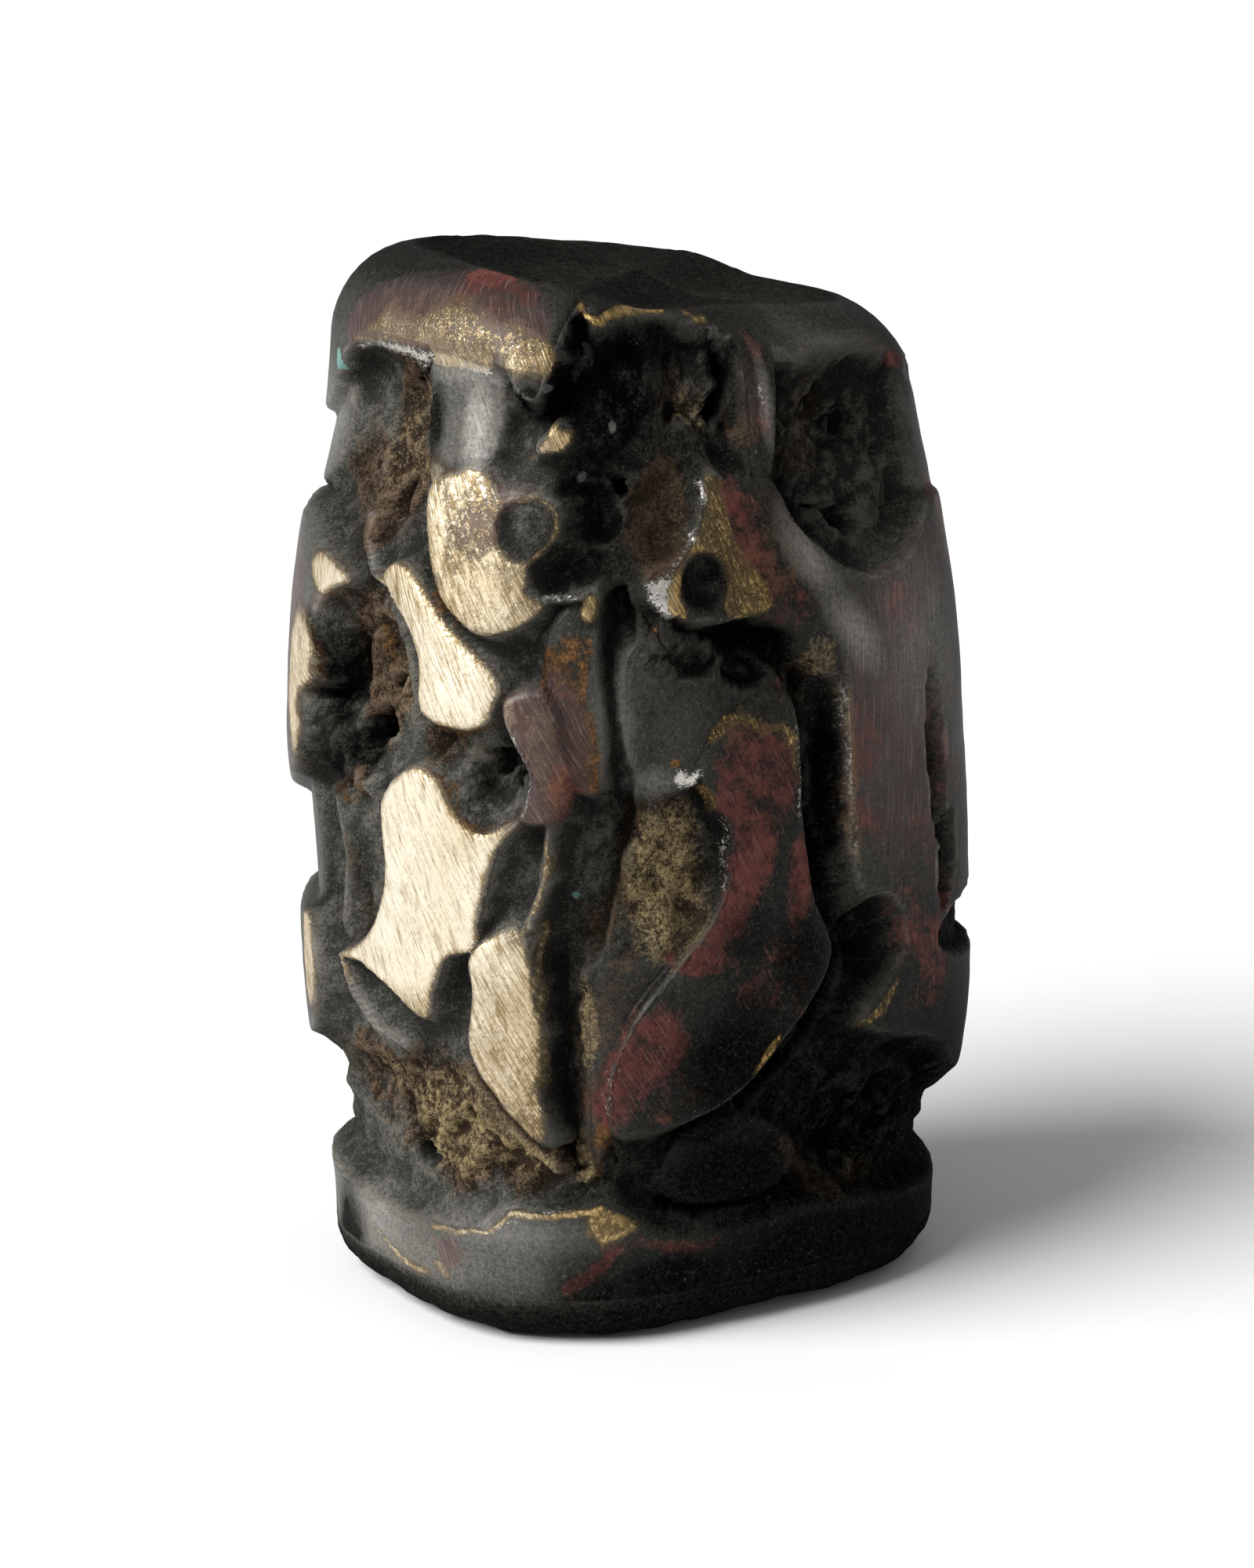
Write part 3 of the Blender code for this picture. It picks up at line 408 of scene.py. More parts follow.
# What covers the surface, finish by finish. Ovals: (u, v, half u, half v, strength), then any turn
OVALS = {
    "rough": ((-11.3, 16.8, 0.9, 2.6, 1), (-10.1, 15.6, 1.6, 1.2, 1), (-9, 18.2, 1.5, 1.8, 0.35),
        (-9.3, 18.7, 0.6, 0.5, 0.9), (-4, 15.7, 1.1, 1.3, 0.8), (-5.6, 16.7, 0.7, 0.5, 0.6),
        (2.6, 25.6, 1.5, 1.3, 1), (-2.2, 26.4, 0.7, 1.4, 0.9), (-2.9, 25.4, 1.2, 1.6, 0.6),
        (-0.6, 25.6, 1.4, 1.7, 0.4), (-1, 23.2, 1.6, 1.2, 0.8), (-1.9, 21.3, 1, 0.9, 0.7),
        (8.6, 24, 3.8, 2.6, 0.85, -8), (1.1, 13.2, 1.6, 2, 0.45), (1.4, 18.7, 1.6, 1, 0.75),
        (6, 18.3, 1.4, 1, 0.8), (-6.2, 5.8, 3.6, 1.9, 0.75), (-2.6, 5.3, 1.6, 1, 0.75),
        (-8.9, 23.8, 2, 3, 0.35), (-7.6, 25.9, 1.3, 0.9, 1), (8.4, 5, 4, 2, 0.6), (3.6, 4.7, 2.6, 1.2, 0.4),
        (8.9, 10.6, 1.2, 1.3, 0.4), (-1.2, 9.5, 1, 2.8, 0.4), (-1.5, 12.3, 0.7, 1.3, 0.4),
        (-1.8, 18.6, 0.7, 1.6, 0.6), (4.4, 25, 0.9, 1.6, 0.4), (6.7, 13.5, 0.5, 5, 0.4),
        (-3, 2.4, 3.2, 0.8, 0.15), (-1.2, 14.5, 0.9, 2.4, 0.35), (-9.4, 6, 2, 1.4, 0.6)),
    "gold": ((-6.3, 12.9, 3.4, 3.8, 1.2), (-8.6, 10.2, 1.9, 0.8, 1.2, 12), (-6.9, 20.2, 1.4, 1.4, 1),
        (-6.8, 27.6, 3.2, 0.8, 0.34), (6.3, 21.5, 2, 0.7, 0.26, -50), (5.1, 21.3, 1.3, 1, 0.36, -45),
        (-5.3, 18.6, 2.1, 1.6, 1.05, -40), (-4.7, 17.5, 1.4, 0.9, 1.1), (-6.1, 22.2, 0.9, 1.5, 0.85, 10),
        (-4.4, 20.5, 1.4, 0.9, 0.85), (-5.2, 23.3, 0.8, 0.5, 0.75), (-10.5, 20.55, 1.1, 0.55, 1.2, -6),
        (-12.2, 17.4, 1, 1.9, 1), (-12.4, 15.9, 0.4, 0.9, 0.9), (-12.5, 9.3, 0.6, 1.5, 0.85),
        (-3.5, 9.4, 1.3, 2.9, 0.82, 4), (-3.1, 6.9, 0.6, 1.2, 0.72, 20), (6.9, 19.7, 0.8, 0.4, 0.24, -35),
        (9.2, 18.5, 0.9, 0.6, 0.2, -50), (-6.1, 1.8, 0.4, 0.2, 0.6, -20), (5.9, 4.85, 0.5, 0.2, 0.35, -40),
        (-1.2, 20.35, 0.35, 0.4, 0.75), (-2.3, 16.4, 0.5, 1.8, 0.42, 12), (4, 15.2, 1.4, 1.7, 0.18),
        (4.9, 14.5, 0.9, 0.4, 0.26), (-10.1, 12.3, 0.3, 0.2, 0.6), (4.75, 23, 0.25, 0.4, 0.3),
        (3.4, 17, 1.2, 0.6, 0.3), (5.3, 16.6, 0.5, 0.9, 0.32), (8, 19.4, 1.9, 0.9, 0.2, -40)),
    # Pale worn metal, with painted glints on lit tips and edges
    "silver": ((-3, 24.3, 0.13, 0.1, 1.1), (-1.35, 24.75, 0.05, 0.06, 1.2), (-9.4, 8.2, 0.3, 0.1, 0.6, -30),
        (2.35, 23.1, 0.1, 0.3, 0.7, 10), (2, 22, 0.1, 0.2, 0.75, 20), (5.3, 25.5, 0.12, 0.2, 0.6)),
    # Sheen: painted highlights, pale metal where the light catches the skin
    "sheen": ((-5, 24.9, 0.5, 1.3, 1.1), (-5.6, 26.3, 1.8, 0.35, 0.5), (6.6, 21.2, 1.7, 0.7, 0.55, -50),
        (8.2, 19.1, 1.7, 0.7, 0.55, -45), (5.5, 25.4, 0.35, 1.3, 0.5), (0.6, 15.7, 0.9, 0.5, 0.4),
        (-9.8, 2.4, 1.6, 0.8, 0.4), (11.2, 18.5, 2.2, 2.6, 0.3), (-9.4, 8.2, 1.2, 0.5, 0.5, -30),
        (1, 20.7, 0.4, 0.5, 0.4), (-13.2, 24.5, 1, 1.6, 0.4), (-3.5, 3.3, 3, 0.6, 0.3)),
    # Grey: paler patina, its own tone in places and painted light where it lifts shaded cuts and faces
    "grey": ((-4.6, 25, 0.6, 1.4, 0.3), (-3.1, 12.6, 0.9, 1.4, 1.2), (-7.2, 5.2, 3.4, 2, 0.4),
        (2.6, 25.6, 1.2, 1, 0.7), (-4.2, 15.9, 1, 1.1, 0.8), (-9, 2, 4, 1.2, 0.8),
        (1.6, 22.3, 0.8, 1.1, 0.5), (9.4, 26.7, 3.6, 0.6, 0.4, -6), (1.1, 12.8, 1.8, 2.2, 0.9),
        (-0.6, 17.4, 0.9, 2.2, 0.9), (-1.4, 13.2, 1.2, 2.4, 0.6), (-1, 7.4, 0.9, 2, 0.4),
        (0.2, 18.6, 1.3, 1.6, 0.3), (1.2, 16.8, 1.4, 1.6, 0.35)),
    # The darkest patina, and painted shade in deep pits, on the foot's shaded right and on faces turned from
    # the light
    "black": ((-11.35, 17.6, 0.7, 1.9, 1.3), (-10, 15.8, 0.8, 0.8, 1.3), (-11.3, 15.2, 1.3, 1.5, 0.75),
        (-4, 15.9, 0.9, 0.9, 0.3), (-2.6, 25.7, 0.5, 0.9, 1.2), (-3.3, 25.6, 0.7, 0.6, 1.1),
        (-1, 25.6, 2.2, 2.4, 0.8), (3.9, 25.9, 0.5, 1.4, 1.2), (-1.6, 23.2, 1, 1.4, 0.7),
        (-9.6, 20.8, 1.2, 0.9, 0.5), (-9.9, 12.4, 0.5, 2.2, 0.5), (-8, 5, 0.7, 0.8, 0.6),
        (3.4, 7.6, 2.6, 2.4, 0.85), (3.6, 11.4, 1.3, 0.9, 0.5), (-7, 0.6, 5.5, 0.7, 1),
        (-11.4, 1.6, 1.3, 1.6, 0.9), (-2.2, 26.6, 0.6, 1.5, 1.2), (-6.8, 24.8, 0.8, 1.8, 0.9),
        (1, 1.6, 4, 1.2, 0.8), (8, 1.4, 6.5, 2, 1), (3.4, 4.3, 3.4, 1.5, 0.9), (2.4, 5.9, 1.4, 0.7, 1),
        (9.4, 4.6, 4, 1.8, 0.8), (7.4, 14.8, 0.3, 3.4, 1), (4.2, 19.1, 2.2, 0.6, 0.8, -6),
        (8.3, 10.6, 1.2, 1.2, 0.8), (5.6, 10.4, 1.2, 1.6, 0.7)),
    "maroon": ((4.1, 15.4, 1.6, 1.5, 1), (3.7, 13.5, 1, 1.3, 1), (2.8, 12, 1, 0.8, 0.9, 30),
        (2, 10.9, 1.1, 0.45, 1.1, -8), (5.7, 12.9, 0.5, 1.5, 0.7, -10), (1.4, 6.8, 0.8, 0.8, 0.3),
        (4.6, 10, 1.4, 0.9, 0.3), (4.6, 8.9, 1.2, 0.4, 0.3, 10), (8.6, 14.8, 0.8, 1.6, 0.5),
        (8.4, 16.8, 0.5, 1.3, 0.45), (10.9, 11.6, 1.4, 2.4, 0.42), (10.9, 9, 1.1, 0.8, 0.42),
        (10.6, 19.6, 0.8, 0.8, 0.4), (13.4, 25.9, 0.7, 0.3, 0.7), (13.6, 21, 0.8, 1.4, 0.45),
        (5.5, 26.6, 0.35, 0.45, 0.6), (-2, 15.6, 0.45, 0.7, 0.7), (5.4, 24.9, 0.25, 0.6, 0.5),
        (12.6, 15.8, 1.2, 2.2, 0.35)),
    "purple": ((-2.6, 16.6, 1.2, 2, 1.1), (-4.5, 22.3, 0.9, 0.7, 0.9), (-5.7, 2.35, 0.5, 0.45, 0.6),
        (9.9, 16.4, 2.2, 4.2, 0.6), (6.1, 21.6, 1.6, 0.6, 0.5, -50), (-10.9, 2, 1.4, 0.4, 0.4),
        (11.5, 20.5, 1.6, 1.4, 0.5), (4.9, 25.6, 0.6, 0.9, 0.5), (-13, 18, 1, 3, 0.5),
        (-8.4, 12.8, 1.4, 2.6, 0.35), (-3.6, 23, 0.8, 0.7, 0.5)),
    "brown": ((-9.2, 18.1, 1.6, 2, 1.2), (-9.8, 19.7, 1.6, 0.6, 0.7), (-10, 14.7, 0.9, 0.5, 0.8),
        (-8.4, 24.3, 1.6, 2.6, 0.85), (-9.3, 22.2, 1.2, 1.2, 0.8), (-11, 23.4, 0.9, 1.4, 0.5),
        (0.9, 22.5, 1.1, 1.5, 0.85, -10), (1.8, 25.4, 0.9, 0.8, 0.45), (0.8, 13.3, 1.6, 2.1, 0.75),
        (-1, 9, 0.9, 3, 0.5), (-0.6, 11.6, 1, 1, 0.5), (-6.4, 6.1, 3.4, 1.9, 0.95),
        (-3.6, 5.3, 1.6, 0.9, 1, -20), (-1.5, 5.3, 0.7, 0.8, 1), (-9.6, 6.2, 2.4, 1.5, 0.8),
        (8.4, 24.4, 1.8, 1.2, 0.35), (7.4, 3.9, 1.6, 0.6, 0.45, -30), (9.8, 3.6, 1.2, 0.5, 0.5),
        (-5.6, 16.6, 0.8, 0.6, 0.6), (-9.1, 12.2, 1.6, 2.2, 0.35), (6.6, 17.9, 0.8, 0.8, 0.5),
        (4.6, 25.1, 0.6, 1.1, 0.4), (-4.2, 16.2, 0.6, 0.8, 0.35), (7.85, 15, 0.3, 2.8, 0.6)),
    "tan": ((-6, 5.9, 2.4, 1.4, 0.62), (-3.6, 5.6, 1.3, 0.6, 0.8, -30), (-4.9, 7, 0.9, 0.6, 0.5),
        (1.1, 12.9, 1.3, 2, 0.75), (-7.4, 24.6, 0.4, 1.4, 0.4), (-9.4, 24, 0.8, 1.2, 0.3),
        (-7.8, 17.6, 0.9, 0.9, 0.3), (2.6, 25.2, 0.8, 0.6, 0.4), (-1.7, 5.1, 0.4, 0.6, 0.6),
        (-1.3, 9.2, 0.3, 1.2, 0.45), (9.9, 3.7, 0.7, 0.3, 0.4), (7.85, 15.6, 0.2, 2.6, 0.35),
        (6.8, 18.6, 0.6, 0.6, 0.25), (-9.6, 6.6, 0.9, 0.6, 0.35)),
    "rust": ((-10.4, 14.4, 0.7, 0.4, 0.5), (1.2, 16.25, 0.2, 0.1, 0.9), (0.55, 19.6, 0.15, 0.2, 0.7),
        (-4.7, 11.4, 0.5, 0.3, 0.5), (-0.9, 5.9, 0.3, 0.5, 0.7), (-1.5, 5.2, 0.5, 0.5, 0.45),
        (-8.3, 18.6, 1, 0.8, 0.35), (-1, 3.2, 0.4, 0.4, 0.35), (-5.5, 20.4, 0.4, 0.3, 0.7, -40),
        (-3.4, 24.3, 0.3, 0.3, 0.35)),
    "green": ((-1.85, 12.45, 0.12, 0.08, 1.2, -20),),
    "fleck": ((-3.7, 23.44, 0.12, 0.07, 1), (-2.8, 27.6, 0.1, 0.06, 0.9), (4.8, 24.1, 0.07, 0.07, 1)),
}

# Patches: an outline's corners and a strength
PATCHES = {
    "gold": (
        (((-11.3, 26.6), (-9.9, 27.2), (-9.3, 27.8), (-7.8, 27.6), (-6.4, 28.1), (-5.4, 27.9), (-4.7, 27.4),
          (-3.6, 27.5), (-2.6, 27), (-2.2, 26.4), (-2.75, 26.2), (-3.4, 26.4), (-4.1, 25.8), (-4.1, 26.4),
          (-6.2, 26.4), (-8.1, 26.6), (-10.3, 26.5)), 0.72),
        (((-7.6, 22.9), (-5.6, 23.45), (-4.9, 23.95), (-4, 23.35), (-3.8, 22.7), (-3.7, 22), (-2.9, 21.4),
          (-3, 20.8), (-2.5, 20.4), (-2.8, 19.8), (-4.2, 19.1), (-5.9, 20.3), (-7.5, 22.2)), 0.7),
        (((-2.85, 24.4), (-2.65, 24.7), (-2.5, 25.15), (-2.3, 24.9), (-1.95, 24.8), (-2.3, 24.25),
          (-2.65, 24.2)), 0.78),
        (((2.4, 23.4), (2.7, 23.6), (3.1, 23.2), (3.35, 22.2), (4.1, 21.4), (4.75, 20.5), (4.7, 20),
          (3.9, 19.8), (3.1, 20), (3, 20.8), (2.2, 21.4), (1.7, 21.5), (2.3, 22.6)), 0.58),
        (((1.35, 21.25), (1.65, 21.2), (1.5, 20.65), (1.7, 20), (1.25, 20), (1.05, 20.7)), 0.72),
        (((-1.3, 3.9), (-0.95, 4.05), (0, 3.4), (-0.75, 2.95), (-1.15, 3.1)), 0.7),
    ),
    # Pale metal with painted glints
    "silver": (
        (((0.45, 20.95), (1.2, 21), (1.3, 20.1), (0.95, 20.05), (0.6, 20.5)), 0.75),
        (((1.2, 15.9), (1.45, 16), (1.6, 15.85), (1.95, 15.9), (1.85, 15.65), (1.9, 15.5), (1.6, 15.55),
          (1.35, 15.65)), 0.85),
    ),
    "maroon": (
        (((-6.6, 28.6), (-5.7, 28.6), (-3.9, 28.3), (-4, 27.9), (-4.6, 27.7), (-5.2, 28.1)), 0.8),
        (((3.1, 23.3), (4.1, 22.8), (4.65, 22.05), (5.5, 21.2), (6.1, 20.5), (6.1, 19.6), (4.9, 19.7),
          (4.4, 20.9), (3.8, 21.6), (3.4, 22.4)), 0.62),
        (((-0.75, 6.3), (-0.7, 8.3), (0.2, 9.3), (1, 9.4), (1.2, 8.6), (0.7, 7.9), (0, 7.2)), 1.1),
    ),
    "purple": (
        (((-11.4, 26.8), (-11, 27.8), (-9.8, 28.2), (-7.3, 28.4), (-4.8, 28.3), (-3.6, 27.9), (-3, 27.3),
          (-5, 26.8), (-9, 26.9)), 0.9),
    ),
    "rust": (
        (((-2.6, 19.2), (-2.1, 19.6), (-1.5, 19.7), (-1.2, 19.2), (-1.45, 18.1), (-1.1, 17), (-1.1, 15.6),
          (-1.5, 15.8), (-1.85, 16.6), (-2.1, 17.8), (-2.5, 18.1)), 0.72),
    ),
    "green": ((((-12.4, 26.3), (-12.25, 26.35), (-12.1, 26.05), (-12.15, 25.8), (-12.3, 25.9)), 1),),
    "fleck": (
        (((-1, 24.98), (-0.82, 24.95), (-0.78, 24.75), (-0.95, 24.66)), 0.8),
        (((-1.86, 23.66), (-1.66, 23.72), (-1.62, 23.52), (-1.78, 23.5)), 0.8),
        (((-2.82, 26.1), (-2.72, 26.05), (-2.72, 25.9), (-2.8, 25.86)), 0.9),
    ),
}

# Strokes: (u, v, half width) along them and a strength
STROKES = {
    # Painted shade along the leaf's lower left edge, dimming the light it catches
    "black": ((((-0.3, 9, 0), (0.3, 9.8, 0.1), (1.4, 10.9, 0.12), (2.6, 12.3, 0.08), (2.95, 12.9, 0)), 0.4),),
    "gold": (
        (((-2.15, 28, 0.02), (-1.8, 27.72, 0.06), (-1.44, 27.55, 0.09), (-1, 27.68, 0.07),
          (-0.37, 27.74, 0.05), (0.63, 27.7, 0.05), (1.49, 27.6, 0.04)), 1),
        (((2.57, 27.55, 0.03), (3, 27.38, 0.07), (3.86, 27.22, 0.03)), 0.9),
        (((-3.74, 23.14, 0.03), (-3.33, 23.15, 0.04), (-2.89, 23.26, 0.03), (-2.42, 22.94, 0.04),
          (-2.25, 22.48, 0.05), (-2.5, 21.96, 0.04), (-2.94, 21.57, 0.05)), 0.62),
        (((-9.3, 22.3, 0.01), (-9.3, 21.7, 0.03), (-9.1, 21, 0.03), (-8.8, 20.5, 0.03)), 0.75),
        (((-2.4, 14.3, 0.02), (-2.35, 13.6, 0.05), (-2.5, 13.05, 0.02), (-2.65, 12.4, 0.05)), 0.75),
        (((-2.6, 11.9, 0.04), (-2.6, 10.5, 0.03), (-2.5, 8.8, 0.04), (-2.5, 7.6, 0.03)), 0.65),
        (((-6.4, 3, 0.03), (-5.5, 3, 0.02), (-4.35, 3.25, 0.01), (-3.55, 3.95, 0.01)), 0.85),
        (((-3.55, 3.97, 0.02), (-3, 3.85, 0.03), (-2.4, 3.78, 0.02), (-1.55, 3.88, 0.03), (-1, 4, 0.04)),
          0.95),
        (((-9.9, 2.1, 0.01), (-8.7, 1.7, 0.04), (-7.6, 1.42, 0.05), (-6.7, 1.5, 0.02)), 0.8),
        (((2.4, 16.8, 0.12), (3, 17.2, 0.15), (3.7, 17.2, 0.12), (4.2, 16.8, 0.12), (5, 16.9, 0.1),
          (5.4, 16.5, 0.18), (5.5, 15.8, 0.1)), 0.55),
        (((2.1, 15.45, 0.1), (2.6, 14.95, 0.08)), 0.65),
        (((3.9, 7.5, 0.04), (4.4, 8.05, 0.14), (4.8, 8.45, 0.05)), 0.6),
        (((8.2, 8.3, 0.1), (8.9, 8.7, 0.2), (9.5, 9.4, 0.05)), 0.55),
        (((7.4, 17.9, 0.02), (7.8, 16.6, 0.04), (7.8, 14.6, 0.03), (7.95, 12.8, 0.03)), 0.5),
    ),
    # Thin lines of pale metal and painted glints along edges
    "silver": (
        (((-11.3, 26.5, 0), (-10.1, 26.65, 0), (-8.1, 26.7, 0.02), (-6.7, 26.55, 0.05), (-5.4, 26.5, 0.1),
          (-4.6, 26.45, 0.05)), 0.8),
        (((2.42, 23.38, 0.01), (2.25, 22.86, 0.02), (1.98, 21.97, 0.01), (1.65, 21.57, 0.01),
          (0.98, 21.17, 0.01)), 0.25),
        (((-3.4, 17.4, 0), (-3, 16.6, 0.01), (-2.85, 15.9, 0.01), (-2.95, 15.1, 0)), 0.6),
        (((2.94, 14.63, 0), (3.1, 14, 0), (3.1, 13.3, 0), (2.9, 12.7, 0)), 0.4),
        (((-10.2, 9.85, 0.02), (-9.8, 9.2, 0.03), (-9.2, 8.5, 0.04), (-8.6, 8.2, 0.02)), 0.65),
        (((-6.4, 3, 0), (-5.5, 3, 0.01), (-4.35, 3.25, 0), (-3.3, 3.88, 0), (-1.7, 3.84, 0)), 0.5),
        (((-2.6, 20.6, 0.02), (-1.6, 20.6, 0.02)), 0.6),
        (((-0.65, 8.2, 0.02), (-0.72, 6.7, 0.02)), 0.35),
        (((5.6, 16.8, 0.01), (5.75, 15.5, 0.02), (5.7, 14.2, 0.01)), 0.4),
        (((7.6, 17.6, 0), (7.75, 15.5, 0), (7.9, 13.2, 0)), 0.4),
        (((-4, 11.6, 0.02), (-4.4, 10.4, 0.03), (-4.4, 8.9, 0.02)), 0.5),
    ),
    "maroon": (
        (((-2.1, 1.75, 0.03), (-1.4, 2, 0.06), (-0.65, 2.7, 0.08), (0.05, 2.95, 0.1), (1.7, 2.65, 0.08),
          (3, 2.6, 0.04)), 0.75),
    ),
    "rust": (
        (((-5.8, 20.9, 0.08), (-5.3, 20.4, 0.12), (-4.85, 19.9, 0.08)), 0.7),
        (((-7.4, 15.3, 0.02), (-7, 15.8, 0.03), (-6.2, 15.95, 0.03), (-5.3, 15.8, 0.03), (-4.8, 14.9, 0.03),
          (-4, 14.5, 0.03), (-3.3, 14.8, 0.03)), 0.55),
        (((-3.8, 17.2, 0.03), (-5, 17, 0.05), (-5.9, 17.4, 0.05)), 0.7),
        (((-4, 11.7, 0.04), (-4.5, 11.4, 0.05), (-4.9, 11, 0.04)), 0.6),
        (((-3.9, 13.9, 0.03), (-4.25, 12.9, 0.03), (-4.4, 11.9, 0.03)), 0.5),
    ),
}


def smooth_through(places, knots):
    """A cubic curve that passes through the knots (place, value), with the mean slope at each."""
    x, y = np.array(knots, float).T
    slope = np.gradient(y, x)
    i = np.clip(np.searchsorted(x, places) - 1, 0, len(x) - 2)
    width = x[i + 1] - x[i]
    t = np.clip((places - x[i]) / width, 0, 1)
    start = (1 + 2 * t) * (1 - t) ** 2 * y[i] + t * (1 - t) ** 2 * width * slope[i]
    end = t**2 * (3 - 2 * t) * y[i + 1] + t**2 * (t - 1) * width * slope[i + 1]
    return start + end


def section_radius(angle):
    """Rounded rectangle by the superellipse formula; the angle is measured from -Y towards +X."""
    long_side = np.abs(np.cos(angle - SECTION_TURN) / SECTION_LONG) ** SECTION_POWER
    short_side = np.abs(np.sin(angle - SECTION_TURN) / SECTION_SHORT) ** SECTION_POWER
    return (long_side + short_side) ** (-1 / SECTION_POWER)


def swell(angle, z):
    """The sides' swelling at a height, blended round the body between its left and right sides."""
    v = z * SHEET_HEIGHT / HEIGHT
    left_share = (1 - np.sin(angle)) / 2
    left, right = smooth_through(v, SWELL_LEFT), smooth_through(v, SWELL_RIGHT)
    return MM * (left_share * left + (1 - left_share) * right)


def top_height(x, y):
    """Height of the worn top: a slope with a step in it, and a few dents."""
    place = x + TOP_SKEW * (TOP_SKEW_FROM - y)
    drop = smooth_through(place / MM, TOP_DROP)
    for dent in TOP_DENTS:
        drop = drop + dent[4] * bowl(oval_share(x / MM, y / MM, dent), 1)
    return HEIGHT - MM * drop


def near(u, centre):
    """The sheet's u, moved by whole turns to lie nearest to the centre."""
    return (u - centre + SHEET_GIRTH / 2) % SHEET_GIRTH - SHEET_GIRTH / 2 + centre


def closed_curve(corners):
    """Points of a smooth closed curve through the corners, by the Catmull-Rom formula."""
    p = np.array(corners, float)
    before, after, beyond = np.roll(p, 1, 0), np.roll(p, -1, 0), np.roll(p, -2, 0)
    t = np.arange(CURVE_STEPS)[:, None, None] / CURVE_STEPS
    linear = after - before
    square = 2 * before - 5 * p + 4 * after - beyond
    cube = 3 * p - before - 3 * after + beyond
    points = p + 0.5 * (linear * t + square * t**2 + cube * t**3)
    return points.transpose(1, 0, 2).reshape(-1, 2)


def segment_distance(u, v, start, end):
    """Distance to a segment whose ends are (u, v, half width), less the half width there."""
    along = np.array(end[:2]) - start[:2]
    share = np.clip(((u - start[0]) * along[0] + (v - start[1]) * along[1]) / (along @ along), 0, 1)
    gap = np.hypot(u - start[0] - share * along[0], v - start[1] - share * along[1])
    return gap - (start[2] + share * (end[2] - start[2]))


def stroke_distance(u, v, joints):
    """Distance to the nearest segment of a stroke, less its half width there."""
    u = near(u, joints[0][0])
    return np.min([segment_distance(u, v, a, b) for a, b in zip(joints, joints[1:])], axis=0)


def island_distance(u, v, corners):
    """Distance to a smooth closed outline, negative inside it."""
    curve = closed_curve(corners)
    u = near(u, curve[:, 0].mean())
    gap = np.full(u.shape, np.inf)
    inside = np.zeros(u.shape, bool)
    for (u0, v0), (u1, v1) in zip(curve, np.roll(curve, -1, 0)):
        gap = np.minimum(gap, segment_distance(u, v, (u0, v0, 0), (u1, v1, 0)))
        crosses = (v0 > v) != (v1 > v)
        if v0 != v1:
            inside ^= crosses & (u < u0 + (v - v0) * (u1 - u0) / (v1 - v0))
    return np.where(inside, -gap, gap)


def oval_share(u, v, oval):
    """0 at the middle of an oval and 1 on its edge. Its last number turns it, where it has six."""
    turn = math.radians(sum(oval[5:]))
    du, dv = near(u, oval[0]) - oval[0], v - oval[1]
    along, across = du * math.cos(turn) + dv * math.sin(turn), dv * math.cos(turn) - du * math.sin(turn)
    return np.hypot(along / oval[2], across / oval[3])


def wall(distance, width):
    """0 at an edge and 1 from its wall's foot on, steep at the edge and rounded at the foot."""
    return 1 - (1 - np.clip(distance / width, 0, 1)) ** 2


def bowl(share, side=HOLLOW_SIDE):
    """1 over the floor of a hollow and 0 outside it."""
    return wall(1 - share, side)


def deeper(depth, other):
    """The deeper of the two, with the crease between them rounded."""
    blend = np.clip(0.5 + (depth - other) / (2 * CREASE), 0, 1)
    return blend * depth + (1 - blend) * other + CREASE * blend * (1 - blend)


def back_lobes():
    """The plain lobes, leaning left and right by turns."""
    lobes = []
    for u in LOBE_STRIPS:
        for row, v in enumerate(LOBE_ROWS):
            turn = math.copysign(LOBE_TURN, u) * (-1) ** row
            lobes.append((u, v, LOBE_HALF_WIDTH, LOBE_HALF_HEIGHT, 0, turn))
    return lobes


def on_back(table):
    """The table's shapes that the back repeats."""
    return {name: table[name] for name in BACK_SHAPES if name in table}


def ground_depth(u, v, hollows, grooves):
    """Depth of the cut ground below the skin, before the islands are left standing in it."""
    depth = np.full(u.shape, CUT_DEPTH)
    for oval in hollows.values():
        depth = deeper(depth, oval[4] * bowl(oval_share(u, v, oval)))
    for joints, floor in grooves.values():
        distance = np.maximum(stroke_distance(u, v, joints), 0)
        depth = deeper(depth, floor * (1 - wall(distance, GROOVE_WALL)))
    return depth


def lattice(cells, seed):
    """A number from 0 to 1 for each whole-numbered cell, by multiplying and folding its bits."""
    cells = cells.astype(np.int64)
    mixed = cells[..., 0] * 73856093 ^ cells[..., 1] * 19349663 ^ cells[..., 2] * 83492791
    mixed = mixed ^ (seed * 7919 + 104729) * 15485863
    mixed = (mixed ^ (mixed >> 13)) * 1274126177
    mixed = (mixed ^ (mixed >> 16)) & 0xFFFFFF
    return mixed / 0xFFFFFF


def cloud(points, size, seed):
    """Smooth noise from -1 to 1: numbers at the corners of cubes of this size, blended between them."""
    corner = np.floor(points / size)
    t = points / size - corner
    t = t**3 * (t * (6 * t - 15) + 10)
    total = 0
    for offset in itertools.product((0, 1), repeat=3):
        weight = np.prod(np.where(offset, t, 1 - t), axis=-1)
        total = total + weight * lattice(corner + offset, seed)
    return 2 * total - 1


def clouds(points, size, octaves, seed):
    """Noise summed over octaves, each half as wide and half as strong as the last."""
    return sum(cloud(points, size / 2**n, seed + n) / 2**n for n in range(octaves))


def noise_over(places, name):
    """The named noise: its height times clouds of its size, octaves and seed."""
    height, *noise = NOISES[name]
    return height * clouds(places, *noise)


